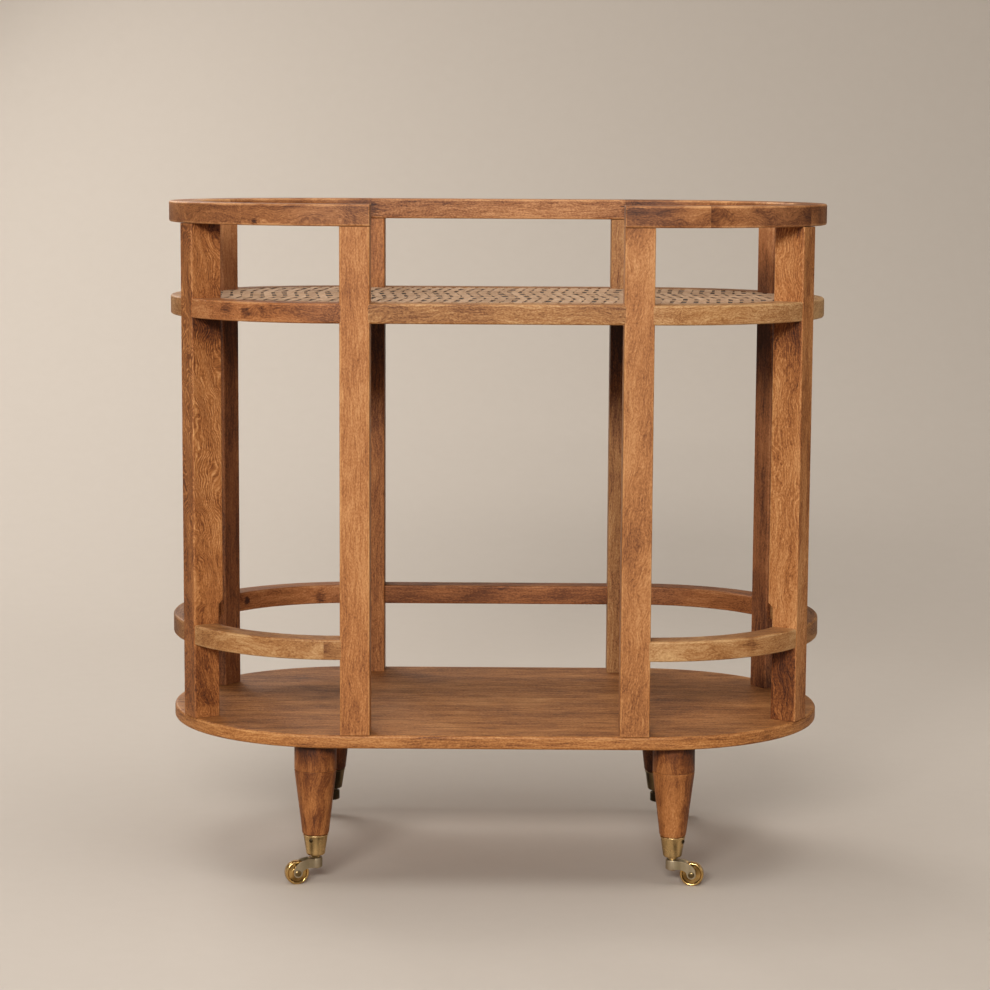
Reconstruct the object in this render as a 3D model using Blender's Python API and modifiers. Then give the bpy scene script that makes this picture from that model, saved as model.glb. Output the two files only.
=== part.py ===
"""Oval serving trolley: three oval rails and a board on eight posts, turned legs and cup castors.

Metres, +Z up. The origin is on the floor under the middle, and the open front faces -Y.
"""

import math
from collections import namedtuple

import bmesh
import bpy
from mathutils import Matrix, Vector
from mathutils.geometry import interpolate_bezier

# Outline in plan: two half circles joined by straight sides
HALF_STRAIGHT = 0.18025
OUTLINE_RADIUS = 0.2087
TOP_OVERHANG = 0.001
BOARD_INSET = 0.0008

# Heights, stacked from the floor
CASTOR_HEIGHT = 0.058
LEG_LENGTH = 0.077
BLOCK_HEIGHT = 0.033
BOARD_THICKNESS = 0.0156
GUARD_CLEARANCE = 0.0872
GUARD_THICKNESS = 0.0235
BAY_HEIGHT = 0.359
SHELF_THICKNESS = 0.0225
GALLERY_HEIGHT = 0.086
TOP_THICKNESS = 0.0245

# Rails and the cane panel
TOP_WIDTH = 0.039
SHELF_WIDTH = 0.040
GUARD_WIDTH = 0.030
RAIL_EASE = 0.002
BOARD_EASE = 0.003
CANE_THICKNESS = 0.003
CANE_SEAT_WIDTH = 0.008
CANE_SEAT_DEPTH = 0.0035

# Posts
POST_WIDTH = 0.034
END_POST_WIDTH = 0.031
POST_DEPTH = 0.0375
END_POST_FOOT_DEPTH = 0.032
END_POST_STEP_HEIGHT = 0.028
FRONT_POST_INSET = 0.0207
END_POST_ANGLE = math.radians(30.75)
POST_EASE = 0.0015
POST_LAP = 0.019
TONGUE_INSET = 0.011
TONGUE_THICKNESS = 0.008
TENON_SHOULDER = 0.008
TENON_TOP_LENGTH = 0.012
TENON_FOOT_LENGTH = 0.007

# Legs
LEG_OUTSET = 0.0273
LEG_INSET = 0.0437
LEG_TOP_DIAMETER = 0.0488
LEG_FOOT_DIAMETER = 0.0305
LEG_FOOT_ROUND = 0.0015
LEG_TENON_DIAMETER = 0.018
LEG_TENON_DEPTH = 0.007
BLOCK_EASE = 0.0008

# Castors
CUP_TOP_DIAMETER = 0.0288
CUP_FOOT_DIAMETER = 0.0215
CUP_FOOT_ROUND = 0.0025
CUP_WALL = 0.0017
CUP_BASE = 0.003
CUP_LIP = 0.0005
CUP_LIP_HEIGHT = 0.0014
CUP_FOOT_HEIGHT = 0.033
NECK_DIAMETER = 0.0098
PINTLE_DIAMETER = 0.006
PINTLE_HEAD_THICKNESS = 0.001
BOSS_DIAMETER = 0.0156
BOSS_TOP = 0.030
BOSS_FOOT = 0.0183
BOSS_EASE = 0.0008
HORN_MARGIN = 0.0008
FORK_WIDTH = 0.0146
SLOT_WIDTH = 0.0102
LOBE_RADIUS = 0.0054
TRAIL = 0.023
WHEEL_DIAMETER = 0.0275
WHEEL_WIDTH = 0.0094
WHEEL_CLEARANCE = 0.0012
RIM_DEPTH = 0.0028
RIM_ROUND = 0.0012
DISC_WIDTH = 0.0056
HUB_DIAMETER = 0.010
AXLE_DIAMETER = 0.0044
AXLE_HEAD_DIAMETER = 0.0074
AXLE_HEAD_THICKNESS = 0.0011
SCREW_DIAMETER = 0.0026
SCREW_LENGTH = 0.009
SCREW_HEAD_DIAMETER = 0.0046
SCREW_HEAD_THICKNESS = 0.0013
SCREW_DROP = 0.0056

# Fits and facets
GAP = 0.0003
OVERCUT = 0.004
BEND_STEP = math.radians(7.5)
TURN_STEPS = 20
SMALL_TURN_STEPS = 10
HORN_STEPS = 6
SMOOTH_ANGLE = math.radians(40)

SIDES = (("left", -1), ("right", 1))
WAYS = (("front", -1), ("back", 1))

# Where each castor trails at rest, and where its cup screw faces, in plan from +X
CASTORS = {
    "front_left": (-1, -1, math.radians(200), math.radians(253)),
    "front_right": (1, -1, math.radians(-10), math.radians(-29)),
    "back_left": (-1, 1, math.radians(180), math.radians(107)),
    "back_right": (1, 1, math.radians(0), math.radians(73)),
}

# A post's place, with +Y outward from its outer face, its sizes and how its guard rail slot runs across it
Station = namedtuple("Station", "frame width foot_depth slot")

leg_top = CASTOR_HEIGHT + LEG_LENGTH
board_foot = leg_top + BLOCK_HEIGHT
board_top = board_foot + BOARD_THICKNESS
guard_foot = board_top + GUARD_CLEARANCE
guard_top = guard_foot + GUARD_THICKNESS
shelf_foot = guard_top + BAY_HEIGHT
shelf_top = shelf_foot + SHELF_THICKNESS
top_foot = shelf_top + GALLERY_HEIGHT
top_top = top_foot + TOP_THICKNESS
post_x = HALF_STRAIGHT - FRONT_POST_INSET
leg_x = HALF_STRAIGHT + LEG_OUTSET
leg_y = OUTLINE_RADIUS - LEG_INSET
wheel_radius = WHEEL_DIAMETER / 2


def clear_scene():
    for obj in list(bpy.data.objects):
        bpy.data.objects.remove(obj)


def make_collection(name):
    collection = bpy.data.collections.new(name)
    bpy.context.scene.collection.children.link(collection)
    return collection


def make_material(name, color, roughness, metallic=0.0):
    material = bpy.data.materials.new(name)
    material.use_nodes = True
    shader = material.node_tree.nodes["Principled BSDF"]
    shader.inputs["Base Color"].default_value = (*color, 1)
    shader.inputs["Roughness"].default_value = roughness
    shader.inputs["Metallic"].default_value = metallic
    return material


def add_object(name, mesh, collection, material=None, parent=None, matrix=None):
    obj = bpy.data.objects.new(name, mesh)
    collection.objects.link(obj)
    if material and not mesh.materials:
        mesh.materials.append(material)
    obj.parent = parent
    if matrix:
        obj.matrix_local = matrix
    return obj


def add_cutter(name, mesh, collection, matrix):
    cutter = add_object(name, mesh, collection, matrix=matrix)
    cutter.hide_render = True
    cutter.display_type = "WIRE"


def cut(obj, cutters):
    boolean = obj.modifiers.new("cut", "BOOLEAN")
    boolean.operation = "DIFFERENCE"
    boolean.operand_type = "COLLECTION"
    boolean.collection = cutters


def verts_of(geometry):
    return [item for item in geometry if isinstance(item, bmesh.types.BMVert)]


def faces_of(geometry):
    return [item for item in geometry if isinstance(item, bmesh.types.BMFace)]


def mesh_from(bm, name):
    bmesh.ops.recalc_face_normals(bm, faces=bm.faces)
    mesh = bpy.data.meshes.new(name)
    bm.to_mesh(mesh)
    bm.free()
    return mesh


def helper_object(name, data):
    obj = bpy.data.objects.new(name, data)
    bpy.context.scene.collection.objects.link(obj)
    return obj


def evaluated_mesh(obj):
    graph = bpy.context.evaluated_depsgraph_get()
    return bpy.data.meshes.new_from_object(obj.evaluated_get(graph))


def shade_round(mesh):
    mesh.shade_smooth()
    mesh.set_sharp_from_angle(angle=SMOOTH_ANGLE)
    return mesh


def box_mesh(name, low, high):
    bm = bmesh.new()
    low, high = Vector(low), Vector(high)
    place = Matrix.Translation((low + high) / 2) @ Matrix.Diagonal((*(high - low), 1))
    bmesh.ops.create_cube(bm, size=1, matrix=place)
    return mesh_from(bm, name)


def rod_mesh(name, radius, start, end, steps=SMALL_TURN_STEPS):
    """A round cutter from one point to another."""
    bm = bmesh.new()
    along = Vector(end) - Vector(start)
    turn = along.to_track_quat("Z", "Y").to_matrix().to_4x4()
    place = Matrix.Translation((Vector(start) + Vector(end)) / 2) @ turn
    bmesh.ops.create_cone(
        bm,
        cap_ends=True,
        segments=steps,
        radius1=radius,
        radius2=radius,
        depth=along.length,
        matrix=place,
    )
    return mesh_from(bm, name)


def turned_mesh(name, profile, steps):
    """Turns (radius, height) points about Z, down the outer side first.

    Points that start off the axis close into a ring.
    """
    profile_mesh = bpy.data.meshes.new(name)
    count = len(profile)
    edges = [(i, i + 1) for i in range(count - 1)]
    if profile[0][0] > 0:
        edges.append((count - 1, 0))
    profile_mesh.from_pydata([(radius, 0, height) for radius, height in profile], edges, [])
    lathe = helper_object(name, profile_mesh)
    screw = lathe.modifiers.new("turn", "SCREW")
    screw.steps = screw.render_steps = steps
    screw.use_merge_vertices = True
    screw.merge_threshold = 0.00001
    mesh = evaluated_mesh(lathe)
    bpy.data.objects.remove(lathe)
    return shade_round(mesh)


def carved_mesh(name, base, changes):
    """The base after each Boolean in turn, given as (operation, mesh)."""
    body = helper_object(name, base)
    tools = []
    for operation, mesh in changes:
        tools.append(helper_object(f"{name}_tool", mesh))
        boolean = body.modifiers.new(operation.lower(), "BOOLEAN")
        boolean.operation = operation
        boolean.object = tools[-1]
    mesh = evaluated_mesh(body)
    for obj in [body, *tools]:
        bpy.data.objects.remove(obj)
    return shade_round(mesh)


def flat_outline(name, points, thickness, ease=0.0):
    """A flat outline with thickness about z = 0. A chamfer of the given ease grows it all round."""
    curve = bpy.data.curves.new(name, "CURVE")
    curve.dimensions = "2D"
    curve.fill_mode = "BOTH"
    curve.extrude = thickness / 2 - ease
    curve.bevel_depth = ease
    curve.bevel_resolution = 0
    spline = curve.splines.new("POLY")
    spline.points.add(len(points) - 1)
    for point, (x, y) in zip(spline.points, points):
        point.co = (x, y, 0, 1)
    spline.use_cyclic_u = True
    outline = helper_object(name, curve)
    bm = bmesh.new()
    bm.from_mesh(evaluated_mesh(outline))
    bpy.data.objects.remove(outline)
    bmesh.ops.remove_doubles(bm, verts=bm.verts, dist=0.000001)
    return mesh_from(bm, name)


def stadium(radius):
    """Outline points of the oval: each end is a half circle about (+-HALF_STRAIGHT, 0)."""
    steps = round(math.pi / BEND_STEP)
    points = []
    for centre, start in ((HALF_STRAIGHT, -math.pi / 2), (-HALF_STRAIGHT, math.pi / 2)):
        for i in range(steps + 1):
            angle = start + math.pi * i / steps
            points.append((centre + radius * math.cos(angle), radius * math.sin(angle)))
    return points


def post_stations():
    """Where each post stands. The front posts are slotted to their middle, the others right across."""
    stations = {}
    reach = POST_WIDTH / 2 + OVERCUT
    across = (-reach, reach)
    for side_name, side in SIDES:
        for way_name, way in WAYS:
            place = Vector((side * post_x, way * OUTLINE_RADIUS, 0))
            frame = station_frame(place, way * math.pi / 2)
            halfway = (-GAP, reach) if side < 0 else (-reach, GAP)
            slot = halfway if way < 0 else across
            stations[f"{way_name}_{side_name}"] = Station(frame, POST_WIDTH, POST_DEPTH, slot)
            angle = way * END_POST_ANGLE if side > 0 else math.pi - way * END_POST_ANGLE
            outward = Vector((math.cos(angle), math.sin(angle), 0))
            place = Vector((side * HALF_STRAIGHT, 0, 0)) + outward * OUTLINE_RADIUS
            foot_depth = END_POST_FOOT_DEPTH if way < 0 else POST_DEPTH
            frame = station_frame(place, angle)
            stations[f"{side_name}_{way_name}"] = Station(frame, END_POST_WIDTH, foot_depth, across)
    return stations


def station_frame(place, angle):
    return Matrix.Translation(place) @ Matrix.Rotation(angle - math.pi / 2, 4, "Z")


def post_profile(foot_depth):
    """Side view of a post, (outward, up), lapped over the shelf frame and stepped to its foot depth."""
    foot, top = board_top + GAP, top_foot - GAP
    profile = [
        (0, foot),
        (0, top),
        (-POST_DEPTH, top),
        (-POST_DEPTH, shelf_top + GAP),
        (-POST_LAP, shelf_top + GAP),
        (-POST_LAP, shelf_foot - GAP),
        (-POST_DEPTH, shelf_foot - GAP),
    ]
    if foot_depth < POST_DEPTH:
        step = guard_top + END_POST_STEP_HEIGHT
        profile += [(-POST_DEPTH, step), (-foot_depth, step - (POST_DEPTH - foot_depth))]
    return [*profile, (-foot_depth, foot)]


def post_mesh(name, width, foot_depth, slot):
    bm = bmesh.new()
    side = bm.faces.new([bm.verts.new((-width / 2, y, z)) for y, z in post_profile(foot_depth)])
    drawn = bmesh.ops.extrude_face_region(bm, geom=[side])["geom"]
    bmesh.ops.translate(bm, vec=(width, 0, 0), verts=verts_of(drawn))
    bmesh.ops.recalc_face_normals(bm, faces=bm.faces)
    raise_tenon(bm, 1, TENON_TOP_LENGTH)
    raise_tenon(bm, -1, TENON_FOOT_LENGTH)
    ease_post(bm, width)
    slot_low = (slot[0], -TONGUE_INSET - TONGUE_THICKNESS - GAP, guard_foot - GAP)
    slot_high = (slot[1], GAP - TONGUE_INSET, guard_top + GAP)
    return carved_mesh(name, mesh_from(bm, name), [("DIFFERENCE", box_mesh("slot", slot_low, slot_high))])


def ease_post(bm, width):
    """Chamfers a post's upright corners, and leaves its tenons and the floor of its lap sharp."""
    near = GAP / 10

    def on_corner(edge):
        first, second = (vert.co for vert in edge.verts)
        upright = abs(first.x - second.x) < near and abs(first.y - second.y) < near
        return upright and abs(first.x) > width / 2 - near and abs(first.y + POST_LAP) > near

    corners = [edge for edge in bm.edges if on_corner(edge)]
    bmesh.ops.bevel(bm, geom=corners, offset=POST_EASE, segments=1, affect="EDGES")


def raise_tenon(bm, direction, length):
    """Insets a post's end face and draws the middle out into a stub tenon."""
    bm.normal_update()
    ends = [face for face in bm.faces if face.normal.z * direction > 0.9]
    end = max(ends, key=lambda face: face.calc_center_median().z * direction)
    bmesh.ops.inset_individual(bm, faces=[end], thickness=TENON_SHOULDER, use_even_offset=True)
    drawn = bmesh.ops.extrude_discrete_faces(bm, faces=[end])["faces"][0]
    bmesh.ops.translate(bm, vec=(0, 0, direction * length), verts=drawn.verts)


def rail_section(outer, width, low, high):
    """Section of a rail, (radius, height), with a chamfer on each edge."""
    inner = outer - width
    return [
        (outer - RAIL_EASE, low),
        (outer, low + RAIL_EASE),
        (outer, high - RAIL_EASE),
        (outer - RAIL_EASE, high),
        (inner + RAIL_EASE, high),
        (inner, high - RAIL_EASE),
        (inner, low + RAIL_EASE),
        (inner + RAIL_EASE, low),
    ]


def shelf_section():
    """Section of the shelf frame, with a rebate along its inner top edge for the cane panel."""
    outer, inner = OUTLINE_RADIUS, OUTLINE_RADIUS - SHELF_WIDTH
    return [
        (outer - RAIL_EASE, shelf_foot),
        (outer, shelf_foot + RAIL_EASE),
        (outer, shelf_top - RAIL_EASE),
        (outer - RAIL_EASE, shelf_top),
        (inner + CANE_SEAT_WIDTH, shelf_top),
        (inner + CANE_SEAT_WIDTH, shelf_top - CANE_SEAT_DEPTH),
        (inner, shelf_top - CANE_SEAT_DEPTH),
        (inner, shelf_foot + RAIL_EASE),
        (inner + RAIL_EASE, shelf_foot),
    ]


def straight_rail(name, section, reach, way):
    """A rail along the front or the back, reaching as far to both sides."""
    bm = bmesh.new()
    last = bm.faces.new([bm.verts.new((-reach, way * radius, z)) for radius, z in section])
    drawn = bmesh.ops.extrude_face_region(bm, geom=[last])["geom"]
    bmesh.ops.translate(bm, vec=(2 * reach, 0, 0), verts=verts_of(drawn))
    return mesh_from(bm, name)


def bent_rail(name, section, start, end, side, way, run=0.0):
    """Sweeps a section round the front right of the oval, after a straight run where there is one.

    A side or a way of -1 or 1 mirrors the sweep to the left or to the back.
    """
    bm = bmesh.new()
    turn = Matrix.Rotation(start, 3, "Z")
    centre = Vector((HALF_STRAIGHT, 0, 0))
    back = Vector((run, 0, 0))
    verts = [bm.verts.new(centre - back + turn @ Vector((radius, 0, z))) for radius, z in section]
    last = [bm.faces.new(verts)]
    if run:
        drawn = bmesh.ops.extrude_face_region(bm, geom=last)["geom"]
        bmesh.ops.translate(bm, vec=back, verts=verts_of(drawn))
        last = faces_of(drawn)
    steps = max(2, round((end - start) / BEND_STEP))
    bmesh.ops.spin(bm, geom=last, cent=centre, axis=(0, 0, 1), angle=end - start, steps=steps)
    if run:
        bmesh.ops.delete(bm, geom=last, context="FACES_ONLY")
    bmesh.ops.scale(bm, vec=(side, -way, 1), verts=bm.verts)
    return mesh_from(bm, name)


def build_rail(name, section, cutters, front_start, parts, material):
    """One tier of rails, jointed at the middle of each post.

    An open front has no rail between the front posts, and front_start is how far in its ends reach.
    """
    joint = GAP / OUTLINE_RADIUS
    reach = post_x - GAP / 2
    made = [straight_rail(f"{name}_back", section, reach, 1)]
    if front_start is None:
        made.append(straight_rail(f"{name}_front", section, reach, -1))
    for side_name, side in SIDES:
        end_span = END_POST_ANGLE - joint / 2
        made.append(bent_rail(f"{name}_{side_name}_end", section, -end_span, end_span, side, -1))
        for way_name, way in WAYS:
            open_end = front_start is not None and way < 0
            run = HALF_STRAIGHT - (front_start if open_end else post_x + GAP / 2)
            bend_end = -END_POST_ANGLE - joint / 2
            label = f"{name}_{side_name}_{way_name}"
            made.append(bent_rail(label, section, -math.pi / 2, bend_end, side, way, run))
    for mesh in made:
        cut(add_object(mesh.name, mesh, parts, material), cutters)


def rail_cutters(name, stations, low, high, spans):
    """What each post takes from the rails it crosses, over spans of depth from its outer face."""
    cutters = make_collection(name)
    for post, station in stations.items():
        half = station.width / 2 + GAP
        for number, (near, far) in enumerate(spans):
            mesh = box_mesh(name, (-half, -far, low - OVERCUT), (half, -near, high + OVERCUT))
            add_cutter(f"{name}_{post}_{number}", mesh, cutters, station.frame)
    return cutters


def mortise_cutters(name, stations, low, high, at_foot):
    cutters = make_collection(name)
    for post, station in stations.items():
        depth = station.foot_depth if at_foot else POST_DEPTH
        half = station.width / 2 - TENON_SHOULDER + GAP
        corner_low = (-half, TENON_SHOULDER - depth - GAP, low)
        mesh = box_mesh(name, corner_low, (half, GAP - TENON_SHOULDER, high))
        add_cutter(f"{name}_{post}", mesh, cutters, station.frame)
    return cutters


def leg_place(side, way):
    return Matrix.Translation((side * leg_x, way * leg_y, 0))


def build_board(stations, parts, material):
    mesh = flat_outline(
        "bottom_board", stadium(OUTLINE_RADIUS - BOARD_INSET - BOARD_EASE), BOARD_THICKNESS, BOARD_EASE
    )
    middle = Matrix.Translation((0, 0, (board_foot + board_top) / 2))
    board = add_object("bottom_board", mesh, parts, material, matrix=middle)
    mortise_foot = board_top - TENON_FOOT_LENGTH - GAP
    sockets = mortise_cutters("board_mortise", stations, mortise_foot, board_top + OVERCUT, True)
    for corner, (side, way, _, _) in CASTORS.items():
        socket_top = board_foot + LEG_TENON_DEPTH
        radius = LEG_TENON_DIAMETER / 2 + GAP
        mesh = rod_mesh("leg_socket", radius, (0, 0, board_foot - OVERCUT), (0, 0, socket_top), TURN_STEPS)
        add_cutter(f"leg_socket_{corner}", mesh, sockets, leg_place(side, way))
    cut(board, sockets)


def build_cane(parts, material):
    radius = OUTLINE_RADIUS - SHELF_WIDTH + CANE_SEAT_WIDTH - GAP
    mesh = flat_outline("cane_panel", stadium(radius), CANE_THICKNESS)
    foot = shelf_top - CANE_SEAT_DEPTH + GAP
    add_object(
        "cane_panel", mesh, parts, material, matrix=Matrix.Translation((0, 0, foot + CANE_THICKNESS / 2))
    )


def cup_radius(height):
    """Outer radius of a castor cup, which tapers from its rim to its foot."""
    share = (height - CUP_FOOT_HEIGHT) / (CASTOR_HEIGHT - CUP_FOOT_HEIGHT)
    return (CUP_FOOT_DIAMETER + (CUP_TOP_DIAMETER - CUP_FOOT_DIAMETER) * share) / 2


def screw_axis():
    """Where a cup screw meets the cup wall, and the wall's outward direction there."""
    height = CASTOR_HEIGHT - SCREW_DROP
    slope = math.atan2(CUP_TOP_DIAMETER - CUP_FOOT_DIAMETER, 2 * (CASTOR_HEIGHT - CUP_FOOT_HEIGHT))
    return Vector((cup_radius(height), 0, height)), Vector((math.cos(slope), 0, -math.sin(slope)))


def screw_hole():
    place, outward = screw_axis()
    end = place - outward * (SCREW_LENGTH + GAP)
    return rod_mesh("screw_hole", SCREW_DIAMETER / 2 + GAP, place + outward * OVERCUT, end)


def leg_mesh():
    """A turned leg: a tenon above, a taper, and a plug that fills its castor cup."""
    tenon = LEG_TENON_DIAMETER / 2
    foot = CASTOR_HEIGHT + GAP
    plug_foot = CUP_FOOT_HEIGHT + CUP_BASE + GAP
    foot_radius = LEG_FOOT_DIAMETER / 2
    tenon_top = board_foot + LEG_TENON_DEPTH - GAP
    plug_inset = CUP_WALL + GAP
    profile = [
        (0, tenon_top),
        (tenon, tenon_top),
        (tenon, leg_top),
        (LEG_TOP_DIAMETER / 2, leg_top),
        (foot_radius, foot + LEG_FOOT_ROUND),
        (foot_radius - LEG_FOOT_ROUND, foot),
        (cup_radius(CASTOR_HEIGHT) - plug_inset, foot),
        (cup_radius(plug_foot) - plug_inset, plug_foot),
        (0, plug_foot),
    ]
    turned = turned_mesh("leg", profile, TURN_STEPS)
    return carved_mesh("leg", turned, [("DIFFERENCE", screw_hole())])


def block_mesh():
    """The round block between a leg and the board, bored for the leg's tenon."""
    outer, bore = LEG_TOP_DIAMETER / 2, LEG_TENON_DIAMETER / 2 + GAP
    low, high = leg_top + GAP, board_foot - GAP
    profile = [
        (outer, high),
        (outer, low + BLOCK_EASE),
        (outer - BLOCK_EASE, low),
        (bore, low),
        (bore, high),
    ]
    return turned_mesh("leg_block", profile, TURN_STEPS)


def cup_mesh():
    """A castor cup with its rim, foot, neck and the riveted pintle on which the fork turns."""
    floor = CUP_FOOT_HEIGHT + CUP_BASE
    lip = cup_radius(CASTOR_HEIGHT) + CUP_LIP
    lip_foot = CASTOR_HEIGHT - CUP_LIP_HEIGHT
    foot_round = CUP_FOOT_HEIGHT + CUP_FOOT_ROUND
    neck, pintle = NECK_DIAMETER / 2, PINTLE_DIAMETER / 2
    shoulder, rivet = BOSS_TOP + GAP, BOSS_FOOT - GAP
    profile = [
        (0, floor),
        (cup_radius(floor) - CUP_WALL, floor),
        (cup_radius(CASTOR_HEIGHT) - CUP_WALL, CASTOR_HEIGHT),
        (lip, CASTOR_HEIGHT),
        (lip, lip_foot),
        (cup_radius(lip_foot), lip_foot),
        (cup_radius(foot_round), foot_round),
        (cup_radius(CUP_FOOT_HEIGHT) - CUP_FOOT_ROUND, CUP_FOOT_HEIGHT),
        (neck, CUP_FOOT_HEIGHT),
        (neck, shoulder),
        (pintle, shoulder),
        (pintle, rivet),
        (neck, rivet),
        (neck, rivet - PINTLE_HEAD_THICKNESS),
        (0, rivet - PINTLE_HEAD_THICKNESS),
    ]
    turned = turned_mesh("castor_cup", profile, TURN_STEPS)
    return carved_mesh("castor_cup", turned, [("DIFFERENCE", screw_hole())])


def screw_mesh():
    """A round-headed screw along +Z, with its head's seat just off z = 0."""
    head, shank = SCREW_HEAD_DIAMETER / 2, SCREW_DIAMETER / 2
    crown = GAP + SCREW_HEAD_THICKNESS
    profile = [
        (0, crown),
        (head / 2, crown),
        (head, GAP),
        (shank, GAP),
        (shank, head - SCREW_LENGTH),
        (0, -SCREW_LENGTH),
    ]
    return turned_mesh("cup_screw", profile, SMALL_TURN_STEPS)


def horn_outline():
    """Side view of a castor's horn: out from the boss, down round the axle and back."""
    axle = Vector((TRAIL, wheel_radius))
    top, foot = BOSS_TOP - HORN_MARGIN, BOSS_FOOT + HORN_MARGIN
    boss = BOSS_DIAMETER / 2
    front = axle + Vector((LOBE_RADIUS, 0))
    back = axle - Vector((LOBE_RADIUS, 0))
    shoulder, armpit = Vector((boss, top)), Vector((boss, foot))
    over_corner, under_corner = Vector((front.x, top)), Vector((back.x, foot))
    over = interpolate_bezier(
        shoulder, shoulder.lerp(over_corner, 0.6), front.lerp(over_corner, 0.6), front, HORN_STEPS
    )
    lobe = []
    for i in range(1, HORN_STEPS):
        angle = math.pi * i / HORN_STEPS
        lobe.append(axle + LOBE_RADIUS * Vector((math.cos(angle), -math.sin(angle))))
    under = interpolate_bezier(
        back, back.lerp(under_corner, 0.6), armpit.lerp(under_corner, 0.6), armpit, HORN_STEPS
    )
    return [Vector((0, foot)), Vector((0, top)), *over, *lobe, *under]


def fork_mesh():
    """A castor fork: a bored boss, and a horn slotted for the wheel and bored for the axle."""
    boss = BOSS_DIAMETER / 2
    boss_profile = [
        (0, BOSS_TOP),
        (boss - BOSS_EASE, BOSS_TOP),
        (boss, BOSS_TOP - BOSS_EASE),
        (boss, BOSS_FOOT + BOSS_EASE),
        (boss - BOSS_EASE, BOSS_FOOT),
        (0, BOSS_FOOT),
    ]
    horn = flat_outline("horn", horn_outline(), FORK_WIDTH)
    horn.transform(Matrix.Rotation(math.pi / 2, 4, "X"))
    slot_start = TRAIL - wheel_radius - WHEEL_CLEARANCE
    slot_end = TRAIL + LOBE_RADIUS + OVERCUT
    half = SLOT_WIDTH / 2
    slot = box_mesh("slot", (slot_start, -half, -OVERCUT), (slot_end, half, BOSS_TOP + OVERCUT))
    pintle_bore = rod_mesh(
        "pintle_bore",
        PINTLE_DIAMETER / 2 + GAP,
        (0, 0, BOSS_FOOT - OVERCUT),
        (0, 0, BOSS_TOP + OVERCUT),
    )
    reach = FORK_WIDTH / 2 + OVERCUT
    axle_bore = rod_mesh(
        "axle_bore", AXLE_DIAMETER / 2 + GAP, (TRAIL, -reach, wheel_radius), (TRAIL, reach, wheel_radius)
    )
    return carved_mesh(
        "castor_fork",
        horn,
        [
            ("UNION", turned_mesh("boss", boss_profile, TURN_STEPS)),
            ("DIFFERENCE", slot),
            ("DIFFERENCE", pintle_bore),
            ("DIFFERENCE", axle_bore),
        ],
    )


def wheel_mesh():
    """A wheel with a rounded rim, a thinner disc and a hub, turned about Z."""
    half, disc = WHEEL_WIDTH / 2, DISC_WIDTH / 2
    rim_inner = wheel_radius - RIM_DEPTH
    hub, bore = HUB_DIAMETER / 2, AXLE_DIAMETER / 2 + GAP
    one_side = [
        (bore, half),
        (hub, half),
        (hub, disc),
        (rim_inner, disc),
        (rim_inner, half),
        (wheel_radius - RIM_ROUND, half),
        (wheel_radius, half - RIM_ROUND),
    ]
    other_side = [(radius, -height) for radius, height in reversed(one_side)]
    return turned_mesh("castor_wheel", one_side + other_side, TURN_STEPS)


def axle_mesh():
    """A rivet along Z with a head outside each arm of the fork."""
    shank, head = AXLE_DIAMETER / 2, AXLE_HEAD_DIAMETER / 2
    seat = FORK_WIDTH / 2 + GAP
    crown = seat + AXLE_HEAD_THICKNESS
    one_side = [(0, crown), (head / 2, crown), (head, seat), (shank, seat)]
    other_side = [(radius, -height) for radius, height in reversed(one_side)]
    return turned_mesh("castor_axle", one_side + other_side, SMALL_TURN_STEPS)


def build_legs_and_castors(parts, finishes):
    """Each corner has a block, a leg, a cup and its screw, then a fork, axle and wheel on a swivel."""
    block, leg, cup, screw = block_mesh(), leg_mesh(), cup_mesh(), screw_mesh()
    fork, axle, wheel = fork_mesh(), axle_mesh(), wheel_mesh()
    seat, outward = screw_axis()
    screw_turn = outward.to_track_quat("Z", "Y").to_matrix().to_4x4()
    screw_place = Matrix.Translation(seat) @ screw_turn
    axle_place = Matrix.Translation((TRAIL, 0, wheel_radius)) @ Matrix.Rotation(math.pi / 2, 4, "X")
    for corner, (side, way, trail_angle, screw_angle) in CASTORS.items():
        place = leg_place(side, way)
        faced = place @ Matrix.Rotation(screw_angle, 4, "Z")
        add_object(f"leg_block_{corner}", block, parts, finishes["leg"], matrix=place)
        add_object(f"leg_{corner}", leg, parts, finishes["leg"], matrix=faced)
        add_object(f"castor_cup_{corner}", cup, parts, finishes["cup"], matrix=faced)
        add_object(f"cup_screw_{corner}", screw, parts, finishes["screw"], matrix=faced @ screw_place)
        swivel = add_object(
            f"swivel_{corner}", None, parts, matrix=place @ Matrix.Rotation(trail_angle, 4, "Z")
        )
        add_object(f"castor_fork_{corner}", fork, parts, finishes["fork"], parent=swivel)
        add_object(f"castor_axle_{corner}", axle, parts, finishes["axle"], swivel, axle_place)
        add_object(f"castor_wheel_{corner}", wheel, parts, finishes["wheel"], swivel, axle_place)


def build_posts(stations, parts, material):
    meshes = {}
    for post, station in stations.items():
        kind = station[1:]
        if kind not in meshes:
            meshes[kind] = post_mesh("post", *kind)
        add_object(f"post_{post}", meshes[kind], parts, material, matrix=station.frame)


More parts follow.
